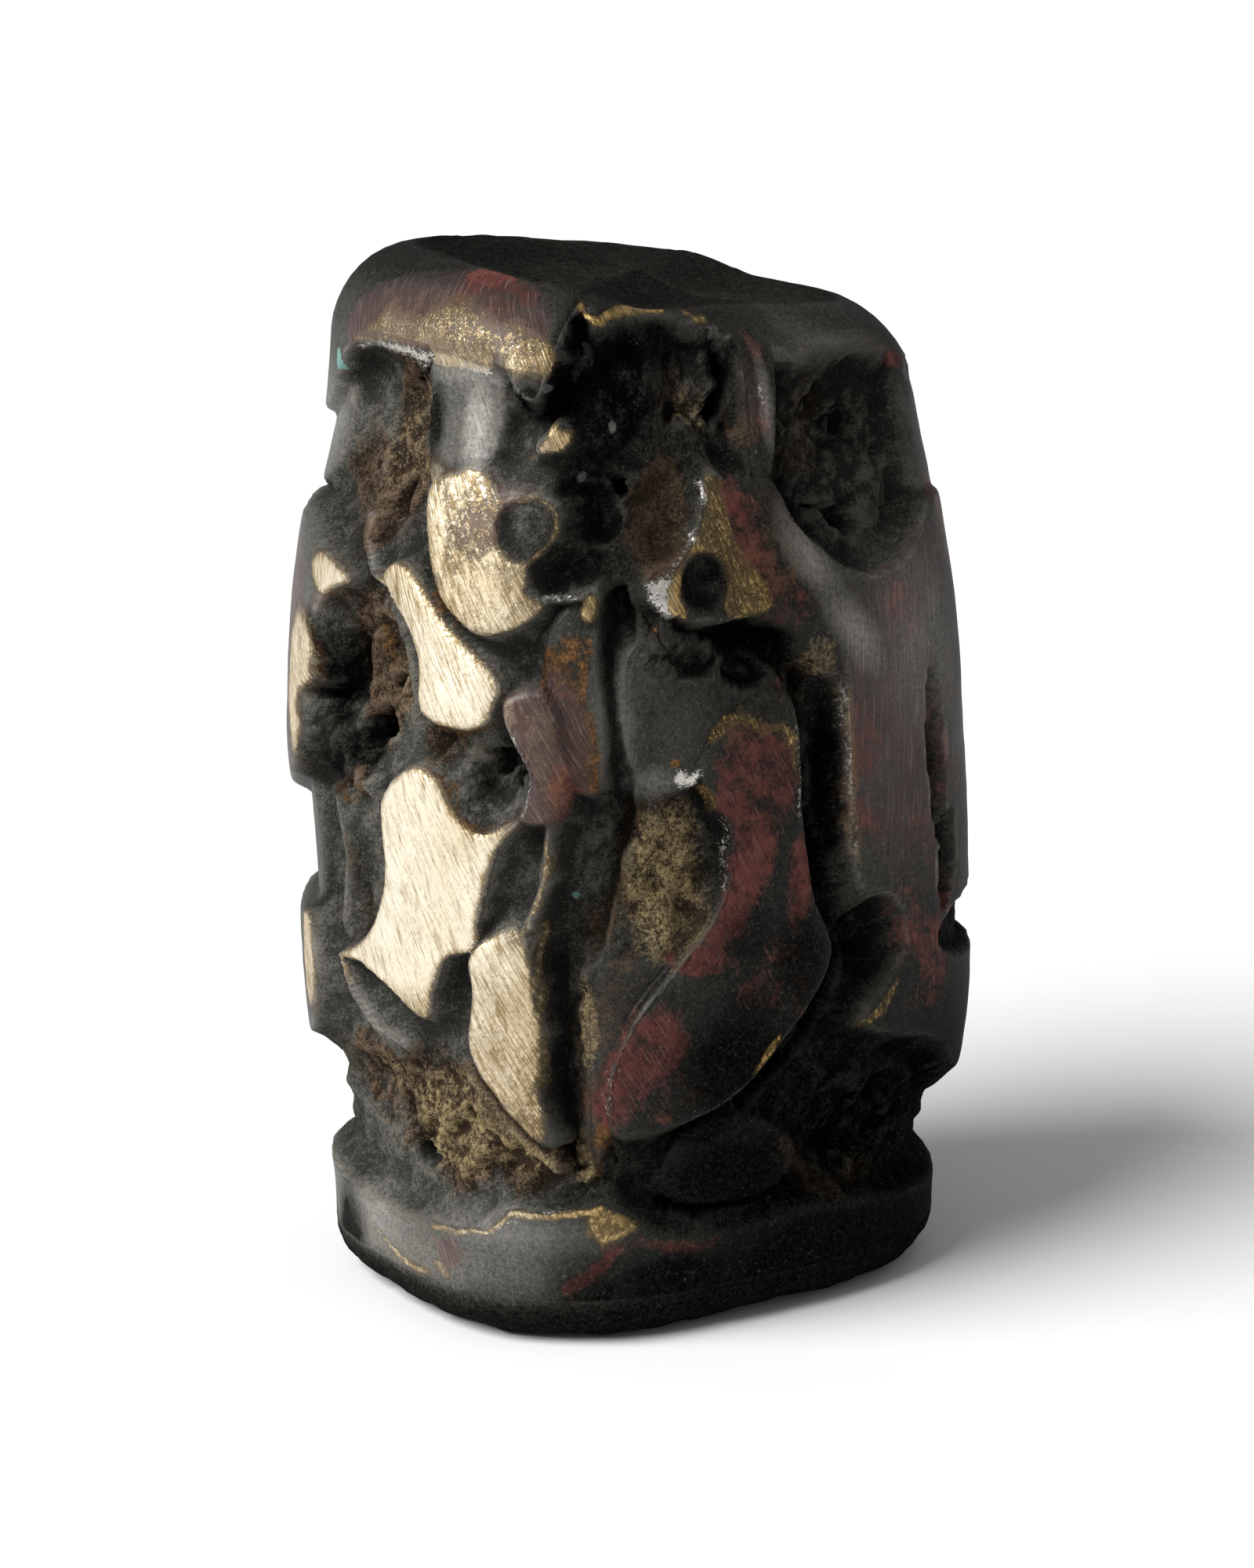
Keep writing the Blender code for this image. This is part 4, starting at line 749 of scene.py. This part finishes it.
def lumps(points, size, seed):
    """Rounded lumps: 1 at a random point in each cube, falling with the distance to the nearest one."""
    cell = np.floor(points / size)
    nearest = np.full(points.shape[:-1], 9.0)
    for offset in itertools.product((-1, 0, 1), repeat=3):
        there = cell + offset
        middle = there + np.stack([lattice(there, seed + k) for k in range(3)], axis=-1)
        nearest = np.minimum(nearest, np.sum((points / size - middle) ** 2, axis=-1))
    return 1 - np.sqrt(nearest)


def spread(u, v, name, limit):
    """How much of a finish a place has: the most that any of its ovals, patches or strokes gives.

    Each is full inside and falls in a straight line across its edge. The limit holds ovals and patches.
    """
    amount = np.full(u.shape, -1.0)
    for oval in OVALS[name]:
        share = (OVAL_REACH - oval_share(u, v, oval)) / OVAL_FADES.get(name, OVAL_FADE)
        amount = np.maximum(amount, oval[4] * np.clip(share, -1, 1))
    for corners, strength in PATCHES.get(name, ()):
        share = PATCH_REACH - island_distance(u, v, corners) / PATCH_FADES.get(name, PATCH_FADE)
        amount = np.maximum(amount, strength * np.clip(share, -1, 1))
    amount = np.minimum(amount, limit)
    for joints, strength in STROKES.get(name, ()):
        share = 1 - stroke_distance(u, v, joints) / STROKE_FADES.get(name, STROKE_FADE)
        amount = np.maximum(amount, strength * np.clip(share, -1, 1))
    return amount


def standing_shapes(u, v, islands, crests):
    """Distance to each island and crest, its depth below the skin and the width of its wall."""
    shapes = [(island_distance(u, v, corners), *rest) for corners, *rest in islands.values()]
    return shapes + [(stroke_distance(u, v, joints), *rest) for joints, *rest in crests.values()]


def rounded(distance):
    """The distance past an edge, eased in so that the edge is rounded: a hyperbola's upper arm."""
    return (distance + np.hypot(distance, EDGE_ROUND)) / 2


def carving(u, v):
    """Depth of the carving below the skin in mm, and the distance to the nearest raised skin."""
    back_u, back_v = near(SHEET_GIRTH / 2 - u, 0), SHEET_HEIGHT - v
    ground = deeper(ground_depth(u, v, HOLLOWS, GROOVES), ground_depth(u, v, FINE_HOLLOWS, FINE_GROOVES))
    ground = deeper(ground, ground_depth(back_u, back_v, on_back(HOLLOWS), on_back(GROOVES)))
    standing = standing_shapes(u, v, ISLANDS, CRESTS)
    standing += standing_shapes(back_u, back_v, on_back(ISLANDS), {})
    standing.append((v - smooth_through(u, FOOT_BAND), 0, FOOT_BAND_WALL))
    standing.append((smooth_through(u, TOP_BAND) - v, 0, TOP_BAND_WALL))
    standing += [((oval_share(u, v, oval) - 1) * oval[2], 0, LOBE_WALL) for oval in back_lobes()]
    depth = ground
    gap = np.full(u.shape, np.inf)
    for distance, level, width in standing:
        depth = np.minimum(depth, level + (ground - level) * wall(rounded(distance), width))
        gap = np.minimum(gap, distance)
    for oval in (*MARKS.values(), *FINE_MARKS.values()):
        share = oval_share(u, v, oval)
        depth = np.maximum(depth, oval[4] * bowl(share, MARK_SIDE))
        gap = np.maximum(gap, (MARK_REACH - share) * oval[2])
    return depth, gap


def wrap_angles():
    """Angles round the body, closest together at the front corner: t less a share of sin t."""
    t = np.linspace(-math.pi, math.pi, STEPS_ROUND, endpoint=False)
    return t - FRONT_CROWD * np.sin(t)


def top_at(angle, radius):
    """Height of the worn top at a distance from the middle."""
    return top_height(radius * np.sin(angle), -radius * np.cos(angle))


def rows_up_the_side(angle):
    """Radius and height of every row of points: underside, foot edge, sides, top edge and top."""
    foot = section_radius(angle)
    rows = [(foot * share, 0 * foot) for share in np.linspace(0, 1, STEPS_FOOT, endpoint=False)[1:]]
    inset = FOOT_EDGE * np.linspace(0, 1, len(rows))
    rows = [(radius - less, z) for (radius, z), less in zip(rows, inset)]
    for turn in np.linspace(0, math.pi / 2, STEPS_EDGE):
        z = FOOT_EDGE * (1 - math.cos(turn)) + 0 * foot
        rows.append((foot + swell(angle, z) - FOOT_EDGE * (1 - math.sin(turn)), z))
    shoulder = foot + swell(angle, HEIGHT - TOP_EDGE + 0 * foot)
    side_top = top_at(angle, shoulder) - TOP_EDGE
    for share in np.linspace(0, 1, STEPS_SIDE)[1:]:
        z = FOOT_EDGE + share * (side_top - FOOT_EDGE)
        rows.append((foot + swell(angle, z), z))
    for turn in np.linspace(0, math.pi / 2, STEPS_EDGE)[1:]:
        z = side_top + TOP_EDGE * math.sin(turn)
        radius = foot + swell(angle, z) - TOP_EDGE * (1 - math.cos(turn))
        rows.append((radius, top_at(angle, radius) - TOP_EDGE * (1 - math.sin(turn))))
    for share in np.linspace(1, 0, STEPS_TOP + 1)[1:-1]:
        rows.append((radius * share, top_at(angle, radius * share)))
    return np.array(rows)


def placed(radius, angle, z):
    """Points from radius, angle and height: x by the sine, y by the cosine with its sign turned."""
    return np.stack([radius * np.sin(angle), -radius * np.cos(angle), z], axis=-1)


def outward(points):
    """Unit normals of a grid of points: the cross product of its two running differences."""
    across = np.roll(points, -1, axis=1) - np.roll(points, 1, axis=1)
    normal = np.cross(across, np.gradient(points, axis=0))
    return normal / np.linalg.norm(normal, axis=-1, keepdims=True)


def fine_relief(places, rough, off_skin):
    """Height in mm of the lumps and grain: lumps where it is rough, clouds over ground and skin."""
    warped = places + np.stack([noise_over(places, name) for name in ("warp_x", "warp_y", "warp_z")], axis=-1)
    coarse = sum(height * (lumps(warped, size, seed) - flat) for height, size, seed, flat in LUMPS)
    coarse = rough * (coarse + noise_over(places, "swells"))
    return coarse + off_skin * noise_over(places, "ground") + noise_over(places, "skin")


def around(height, reach):
    """Mean height a few steps away, to each side, above and below, and half as far."""
    turns = [(steps, axis) for steps in (reach, -reach, reach // 2, -(reach // 2)) for axis in (0, 1)]
    return sum(np.roll(height, steps, axis) for steps, axis in turns) / len(turns)


def seal_grid():
    """The body's points as rows up the side, and what each finish covers there."""
    angle = wrap_angles()
    radius, z = rows_up_the_side(angle).transpose(1, 0, 2)
    angle = np.broadcast_to(angle, radius.shape)
    places = placed(radius, angle, z) / MM
    u = near(angle / (2 * math.pi) * SHEET_GIRTH, 0) + noise_over(places, "wander_u")
    v = z * SHEET_HEIGHT / HEIGHT + noise_over(places, "wander_v")
    depth, gap = carving(u, v)
    carved = np.zeros(radius.shape)
    carved[STEPS_FOOT + STEPS_EDGE - 2 : -STEPS_TOP] = 1
    depth = depth * carved
    points = placed(radius - MM * depth, angle, z)
    cover = finishes(u, v, places, gap, carved)
    cover["deep"] = depth
    off_skin = np.clip(gap / GROUND_FROM, 0, 1) * carved
    lift = fine_relief(places, np.maximum(cover["rough"], GROUND_ROUGH * off_skin), off_skin)
    lift[:STEPS_FOOT] = 0
    height = lift - depth
    cover["crest"] = np.clip((height - around(height, CREST_REACH)) / CREST_SPAN, -1, 1) * carved
    cover["sunk"] = np.clip((around(height, SUNK_REACH) - height) / SUNK_SPAN, 0, 1) * carved
    return points + MM * lift[..., None] * outward(points), cover


def finishes(u, v, places, gap, carved):
    """How much of each finish every place has. A finish of the skin ends where the skin does.

    Places are shifted by noise first, which makes the edges ragged.
    """
    u = u + noise_over(places, "ragged_u")
    v = v + noise_over(places, "ragged_v")
    back = near(SHEET_GIRTH / 2 - u, 0), SHEET_HEIGHT - v
    cover = {}
    for name in OVALS:
        limit = SKIN_LIMITS[name] - LIMIT_FALL * gap if name in SKIN_LIMITS else np.inf
        amount = np.maximum(spread(u, v, name, limit), BACK_SHARE * spread(*back, name, limit))
        cover[name] = np.clip(amount, -1, MOST_COVER) * carved + carved - 1
    patchy = noise_over(places, "patchy")
    near_skin = np.clip(ROUGH_SKIN + gap / ROUGH_FROM, 0, 1)
    cover["rough"] = np.clip(cover["rough"], 0, 1) * near_skin + ROUGH_ENDS * (1 - carved)
    cover["skin"] = np.clip(0.5 - gap / SKIN_FADE, 0, 1) * carved
    cover["wear"] = np.clip(0.5 + patchy, 0, 1) * carved
    # The lit side's share: patina, gold and worn edges are painted paler where the light falls, which is
    # painted light
    side = np.interp(u, *zip(*LIT_LEFT)) * np.interp(v, *zip(*LIT_LEFT_UP))
    side = side + np.interp(u, *zip(*LIT_RIGHT)) * np.interp(v, *zip(*LIT_RIGHT_UP))
    cover["lit_share"] = np.clip(side * (1 + LIT_PATCHY * patchy), 0, 1)
    return cover


def seal_faces(rows):
    """Quads between the rows and a fan of triangles at each pole, all facing out."""
    index = np.arange(rows * STEPS_ROUND).reshape(rows, STEPS_ROUND)
    after = np.roll(index, -1, axis=1)
    quads = np.stack([index[:-1], after[:-1], after[1:], index[1:]], axis=-1).reshape(-1, 4)
    foot_pole, top_pole = rows * STEPS_ROUND, rows * STEPS_ROUND + 1
    foot_fan = np.stack([0 * index[0] + foot_pole, after[0], index[0]], axis=-1)
    top_fan = np.stack([0 * index[-1] + top_pole, index[-1], after[-1]], axis=-1)
    return quads.tolist() + foot_fan.tolist() + top_fan.tolist()


def sheet_map(mesh, points):
    """The sheet as a UV map: u by the angle round the body, v by the length gone up the side."""
    around = np.append(wrap_angles(), math.pi) / (2 * math.pi) + 0.5
    steps = np.linalg.norm(np.diff(points, axis=0), axis=-1).mean(axis=1)
    up = np.append(0, np.cumsum(steps)) / MM / SHEET_ARC
    grid = np.stack(np.meshgrid(around, up), axis=-1)
    quads = np.stack([grid[:-1, :-1], grid[:-1, 1:], grid[1:, 1:], grid[1:, :-1]], axis=2)
    foot_fan = np.stack([grid[0, :-1], grid[0, 1:], grid[0, :-1]], axis=1)
    top_fan = np.stack([grid[-1, :-1], grid[-1, :-1], grid[-1, 1:]], axis=1)
    layer = mesh.uv_layers.new(name="sheet")
    corners = [part.reshape(-1) for part in (quads, foot_fan, top_fan)]
    layer.data.foreach_set("uv", np.concatenate(corners))


def add_seal():
    """The carved mesh, set down on z = 0 with the middle of its box over the origin."""
    points, cover = seal_grid()
    rows = len(points)
    top = (0, 0, top_height(np.zeros(1), np.zeros(1))[0])
    vertices = np.vstack([points.reshape(-1, 3), (0, 0, 0), top])
    low, high = vertices.min(axis=0), vertices.max(axis=0)
    vertices -= ((low[0] + high[0]) / 2, (low[1] + high[1]) / 2, low[2])
    mesh = bpy.data.meshes.new("seal_carved")
    mesh.from_pydata(vertices.tolist(), [], seal_faces(rows))
    mesh.polygons.foreach_set("use_smooth", np.ones(len(mesh.polygons), bool))
    sheet_map(mesh, points)
    for name, amount in cover.items():
        values = np.concatenate([amount.reshape(-1), amount[0, :1], amount[-1, :1]])
        layer = mesh.attributes.new(name, "FLOAT", "POINT")
        layer.data.foreach_set("value", values.astype(np.float32))
    mesh.materials.append(seal_metal())
    seal = bpy.data.objects.new("seal_carved", mesh)
    bpy.context.scene.collection.objects.link(seal)
    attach(seal, "root")
    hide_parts("bronze_seal")
    return seal


class Field:
    """A number or colour that varies over the surface. Arithmetic on it adds Math nodes."""

    def __init__(self, finish, socket):
        self.finish = finish
        self.socket = socket

    def math(self, operation, first, second, clamped=False):
        settings = {"operation": operation, "use_clamp": clamped}
        return self.finish.node("ShaderNodeMath", settings, {0: first, 1: second})

    def __add__(self, other):
        return self.math("ADD", self, other)

    def __sub__(self, other):
        return self.math("SUBTRACT", self, other)

    def __rsub__(self, other):
        return self.math("SUBTRACT", other, self)

    def __mul__(self, other):
        return self.math("MULTIPLY", self, other)

    def __truediv__(self, other):
        return self.math("DIVIDE", self, other)

    __radd__ = __add__
    __rmul__ = __mul__

    def limited(self):
        """Held between 0 and 1."""
        return self.math("ADD", self, 0, True)


class Finish:
    """A material under construction: its nodes, and the Principled shader that they feed."""

    def __init__(self, name):
        self.material = bpy.data.materials.new(name)
        self.material.use_nodes = True
        self.tree = self.material.node_tree
        self.shader = self.tree.nodes["Principled BSDF"]

    def fill(self, node, inputs):
        """Links each field to its socket, and sets the other sockets to their values."""
        for name, value in inputs.items():
            if isinstance(value, Field):
                self.tree.links.new(value.socket, node.inputs[name])
            else:
                node.inputs[name].default_value = value

    def node(self, kind, settings, inputs, output=0):
        """A node of this kind: its settings are made first, then its sockets are filled."""
        node = self.tree.nodes.new(kind)
        for name, value in settings.items():
            setattr(node, name, value)
        self.fill(node, inputs)
        return Field(self, node.outputs[output])

    def place(self):
        """Where a point of the surface lies, in metres."""
        return self.node("ShaderNodeTexCoord", {}, {}, "Object")

    def cover(self, name):
        """How much of a finish the mesh carries, or another of its named values."""
        return self.node("ShaderNodeAttribute", {"attribute_name": name}, {}, "Fac")

    def noise(self, place, size, detail, roughness, output=0):
        """Noise whose lumps are about this many millimetres across."""
        inputs = {"Vector": place, "Scale": 1 / size, "Detail": detail, "Roughness": roughness}
        return self.node("ShaderNodeTexNoise", {}, inputs, output)

    def crumbs(self, place, size):
        """1 in the middle of each crumb of this size, falling towards its edge."""
        return 1 - self.node("ShaderNodeTexVoronoi", {}, {"Vector": place, "Scale": 1 / size}, "Distance")

    def blend(self, share, first, second):
        """The first number, going over to the second with the share."""
        return self.node("ShaderNodeMix", {}, {0: share, 2: first, 3: second})

    def mix(self, share, first, second):
        """The first colour, going over to the second with the share."""
        return self.node("ShaderNodeMix", {"data_type": "RGBA"}, {0: share, 6: first, 7: second}, 2)

    def streaks(self, u, v, degrees, length, width, seed):
        """Noise drawn out along a direction: turned places divided by the length and by the width."""
        turn = math.radians(degrees)
        along = (u * math.cos(turn) + v * math.sin(turn)) / length
        across = (v * math.cos(turn) - u * math.sin(turn)) / width
        place = self.node("ShaderNodeCombineXYZ", {}, {"X": along, "Y": across, "Z": seed})
        return self.noise(place, 1, STREAK_DETAIL, 0.5)


def climb(value, name):
    """A straight climb from 0 to 1, about the middle and at the rate that CLIMBS gives the name."""
    middle, rate = CLIMBS[name]
    return ((value - middle) * rate + 0.5).limited()


def seal_metal():
    """Black patina over bronze, worn to scratched bare metal, with copper oxide, earth and rust; painted
    light too: a paler lit side, painted shade in hollows, painted sheen and glints.
    """
    finish = Finish("seal_bronze")
    mix = finish.mix
    place = finish.node("ShaderNodeVectorMath", {"operation": "SCALE"}, {0: finish.place(), "Scale": 1 / MM})
    drift = {0: finish.noise(place, *DRIFT, "Color"), 1: DRIFT_REACH, 2: place}
    drifted = finish.node("ShaderNodeVectorMath", {"operation": "MULTIPLY_ADD"}, drift)
    sheet = {0: finish.node("ShaderNodeUVMap", {"uv_map": "sheet"}, {})}
    u, v = (finish.node("ShaderNodeSeparateXYZ", {}, sheet, axis) for axis in "XY")
    u, v = (u - 0.5) * SHEET_GIRTH, v * SHEET_ARC
    cover = {name: finish.cover(name) for name in (*OVALS, "skin", "lit_share", "wear", "deep", "crest", "sunk")}
    skin, rough, lit_share, crest = (cover[name] for name in ("skin", "rough", "lit_share", "crest"))
    gilt, grey_lift = cover["gold"], cover["grey"].limited()
    ground = 1 - skin

    tiny, fine, flakes, patches = (finish.noise(place, *grain) for grain in GRAINS)
    crumb, grain = (finish.crumbs(drifted, size) for size in CRUMBS)
    tiny_swing, fine_swing, flake_swing = tiny - 0.5, fine - 0.5, flakes - 0.5
    wavy = u + flake_swing * STREAK_WAVE
    left, low, right, veins = (finish.streaks(wavy, v, *streak) for streak in STREAKS)
    to_low = ((u - LOW_MARKS_FROM) * 2).limited() * (LOW_MARKS_BELOW - v).limited()
    to_right = ((u - RIGHT_MARKS_FROM) * 0.5).limited()
    scratches = finish.blend(to_right, finish.blend(to_low, left, low), right)
    scratch_swing = scratches - 0.5

    ragged = flake_swing * 0.9 + fine_swing * 0.5
    cloudy = (patches - 0.5) * 2.4 + flake_swing * 1.2
    maroon = climb(cover["maroon"] + cloudy * 1.2 + fine_swing * 1.2 + scratch_swing * 0.9, "maroon")
    purple = climb(cover["purple"] + cloudy * 0.5 + fine_swing * 0.8, "purple")
    leaf = climb(gilt + ragged, "leaf")
    dusting = climb(gilt + fine_swing * 3.2 + tiny_swing * 1.6, "dusting")
    holes = fine * 0.5 + flakes * 0.3 + tiny * 0.2 + purple * 0.07 + maroon * 0.05
    gold = leaf * (1 - climb(holes - gilt * 0.26, "holes") * 0.85)
    gold = gold + (1 - gold) * dusting * 0.8
    # Pale metal and worn crests, with painted sheen and glints: the sheen ovals and part of the pale metal
    # paint highlights
    silver = climb(cover["silver"] + fine_swing * 2 + tiny_swing * 1.5, "silver") * (fine * 0.8 + 0.6)
    sheen = (cover["sheen"].limited() * (0.5 + fine_swing * 1.2 + scratch_swing * 0.7)).limited()
    worn = climb(crest + ragged, "worn") * skin * cover["wear"] * (lit_share * 0.4 + 0.1)
    silver = (silver + worn + sheen).limited()
    brown = climb(cover["brown"] + cloudy + ragged * 0.5, "brown")
    tan = climb(cover["tan"] + fine_swing + flake_swing * 0.4, "tan")
    rust = climb(cover["rust"] + cloudy * 0.5 + ragged * 1.2, "rust")
    green = climb(cover["green"] + ragged * 0.6, "green")
    fleck = climb(cover["fleck"] + ragged * 0.4, "fleck")
    dust_and_glint_speck = climb(tiny * 0.6 + fine * 0.4, "dust_and_glint_speck")
    black = climb(cover["black"] + cloudy * 0.4, "black")
    # The lit side's share with the grey lifts: painted light, with the patina's own paler tone
    lit_and_grey_share = (lit_share + grey_lift * 0.6).limited()

    # Paler tops and darker gaps of the grain: its random tone, and painted light where crests and crumb tops
    # are painted lighter in place of their shading
    tips = fine_swing * 1.3 + tiny_swing * 1.2 + (grain - 0.5) * 0.2 + flake_swing * 0.4
    tips = crest * (ground * 0.1 + 0.2) + tips * (1 - skin * 0.4) + (crumb - 0.6) * rough * 0.5
    tips = tips + grey_lift * 0.12
    high = climb(tips, "high")
    # Darker by depth and in the hollows of the relief: painted shade, with the dirt of the hollows
    hollow_shade_and_dirt = (climb(cover["deep"], "hollow_shade_and_dirt") * 0.5 + cover["sunk"] * 0.6).limited()
    hollow_shade_and_dirt = hollow_shade_and_dirt * (1 - tan * 0.6) * (1 - grey_lift * 0.75) * (1 - lit_share * 0.3)
    filed = climb(scratches, "filed") * skin * (purple * 0.14 + maroon * 0.1 + 0.03)
    brim = climb(gilt + ragged, "brim") * (1 - leaf) * lit_share
    rust_glow = climb(flakes * 0.5 + fine * 0.35 + grain * 0.15, "rust_glow")
    red = climb(flakes * 0.3 + patches * 0.3 + fine * 0.25 + tiny * 0.15, "red")
    dull = fine * 0.3 + tiny * 0.1 + scratches * 0.4 + patches * 0.2
    dull = (climb(dull - gilt * 0.26, "dull") + climb(veins, "veins") * 0.45).limited()

    # Patina and earth in a lit and a shaded copy, mixed by the lit side's share: painted light
    low_shade = mix(brown, mix(lit_and_grey_share, PATINA_BLACK, PATINA_GREY), EARTH_DARK)
    high_shade = mix(brown, mix(lit_and_grey_share, PATINA_DARK, PATINA_LIT), mix(lit_and_grey_share, EARTH_DIM, EARTH))
    sandy = mix(climb(fine * 0.5 + tiny * 0.5, "sandy"), EARTH_YELLOW, EARTH_PALE)
    violet = mix(climb(scratches, "violet"), PURPLE_DEEP, PURPLE_SKIN)
    shade = mix(high, low_shade, high_shade)
    for share, colour in (
        (tan, mix(high, EARTH_DIM, sandy)),
        (rust, mix(rust_glow, RUST_DARK, RUST_BRIGHT)),
        # purple in a shaded dark copy and a lit copy: painted light
        (purple * 0.8, mix(lit_share, PURPLE_DARK, violet)),
        (maroon, mix(red, OXIDE_DARK, OXIDE_RED)),
        (filed, SCRATCH_PALE),
        # painted shade in the hollows, with their dirt
        (hollow_shade_and_dirt * (1 - high * 0.6) * 0.9, PATINA_BLACK),
        # the darkest patina with painted shade, its crumb tops painted lighter
        (black * 0.95, mix(climb(tips, "dim"), PATINA_BLACK, PATINA_DIM)),
        # dust dots and painted glints, brighter on the lit side
        (dust_and_glint_speck * (lit_share * 0.3 + 0.25), DUST_AND_GLINT),
        (brim * 0.6, RUST_DARK),
        # pale metal with painted sheen and glints
        (silver * 0.85, WHITE_METAL),
        # gold in a shaded deep copy and a lit pale copy: painted light
        (gold, mix(lit_share, mix(dull, GOLD_RICH, GOLD_DEEP), mix(dull, GOLD_PALE, GOLD_TAN))),
        (green, GREEN),
        (fleck, FLECK),
    ):
        shade = mix(share, shade, colour)

    metal = (gold + silver).limited() * (1 - green) * (1 - fleck)
    crust = (crumb * 0.26 + grain * 0.03) * rough + (fine * 0.15 + tiny * 0.03) * (ground * 0.7 + 0.35)
    crust = crust + flakes * (ground + 0.25) * 0.24
    height = crust * (1 - metal * 0.8) + metal * 0.01 - scratches * skin * 0.022
    gloss = 0.58 + fine_swing * 0.3 + ground * 0.25 + brown * 0.2 - gold * 0.1 - silver * 0.2
    finish.fill(finish.shader, {
        "Base Color": shade,
        "Metallic": (metal + purple * 0.12 * (1 - metal)).limited(),
        "Roughness": gloss.limited(),
        "Specular IOR Level": METAL_SPECULAR,
        # the coat's gloss is set mostly on the lit side, so its sheen is placed by where the light falls
        "Coat Weight": skin * (lit_share * 0.45 + 0.04) * (1 - metal) * (1 - black) * (fine * 0.8 + 0.6),
        "Coat Roughness": COAT_ROUGHNESS,
        "Normal": finish.node("ShaderNodeBump", {}, {"Height": height, "Distance": MM, "Strength": 1}),
    })
    return finish.material


def floor_material():
    """Matt near-white paper."""
    finish = Finish("paper")
    fibres = finish.noise(finish.place(), *FIBRES)
    finish.fill(finish.shader, {
        "Base Color": finish.mix(fibres, PAPER, PAPER_SHADE),
        "Roughness": PAPER_ROUGHNESS,
        "Specular IOR Level": PAPER_SPECULAR,
    })
    return finish.material


def add_floor():
    """A wide plain floor, a square about the seal."""
    corners = [(x * FLOOR_HALF, y * FLOOR_HALF, 0) for x, y in ((-1, -1), (1, -1), (1, 1), (-1, 1))]
    mesh = bpy.data.meshes.new("floor")
    mesh.from_pydata(corners, [], [(0, 1, 2, 3)])
    mesh.materials.append(floor_material())
    floor = bpy.data.objects.new("floor", mesh)
    bpy.context.scene.collection.objects.link(floor)


def aimed(thing, place, target):
    """Stands at a place and looks at the target."""
    thing.location = place
    thing.rotation_euler = (Vector(target) - Vector(place)).to_track_quat("-Z", "Y").to_euler()
    bpy.context.scene.collection.objects.link(thing)


def add_light():
    """A broad soft light from the upper left and front, and a dim white room."""
    sun = bpy.data.lights.new("key", "SUN")
    sun.energy = KEY_STRENGTH
    sun.angle = KEY_SPREAD
    aimed(bpy.data.objects.new("key", sun), KEY_PLACE, (0, 0, 0))
    world = bpy.data.worlds.new("room")
    world.use_nodes = True
    room = world.node_tree.nodes["Background"]
    room.inputs["Color"].default_value = (1, 1, 1, 1)
    room.inputs["Strength"].default_value = ROOM_STRENGTH
    bpy.context.scene.world = world
    bpy.context.scene.view_settings.view_transform = "Standard"


def add_camera():
    """The photograph's view: level on X, looking a little down."""
    lens = bpy.data.cameras.new("camera")
    lens.lens = CAMERA_LENS
    lens.clip_start = MM
    camera = bpy.data.objects.new("camera", lens)
    camera.location = CAMERA_PLACE
    camera.rotation_euler = (math.pi / 2 - CAMERA_DIP, 0, 0)
    bpy.context.scene.collection.objects.link(camera)
    bpy.context.scene.camera = camera


add_camera()
add_light()
add_floor()
add_seal()
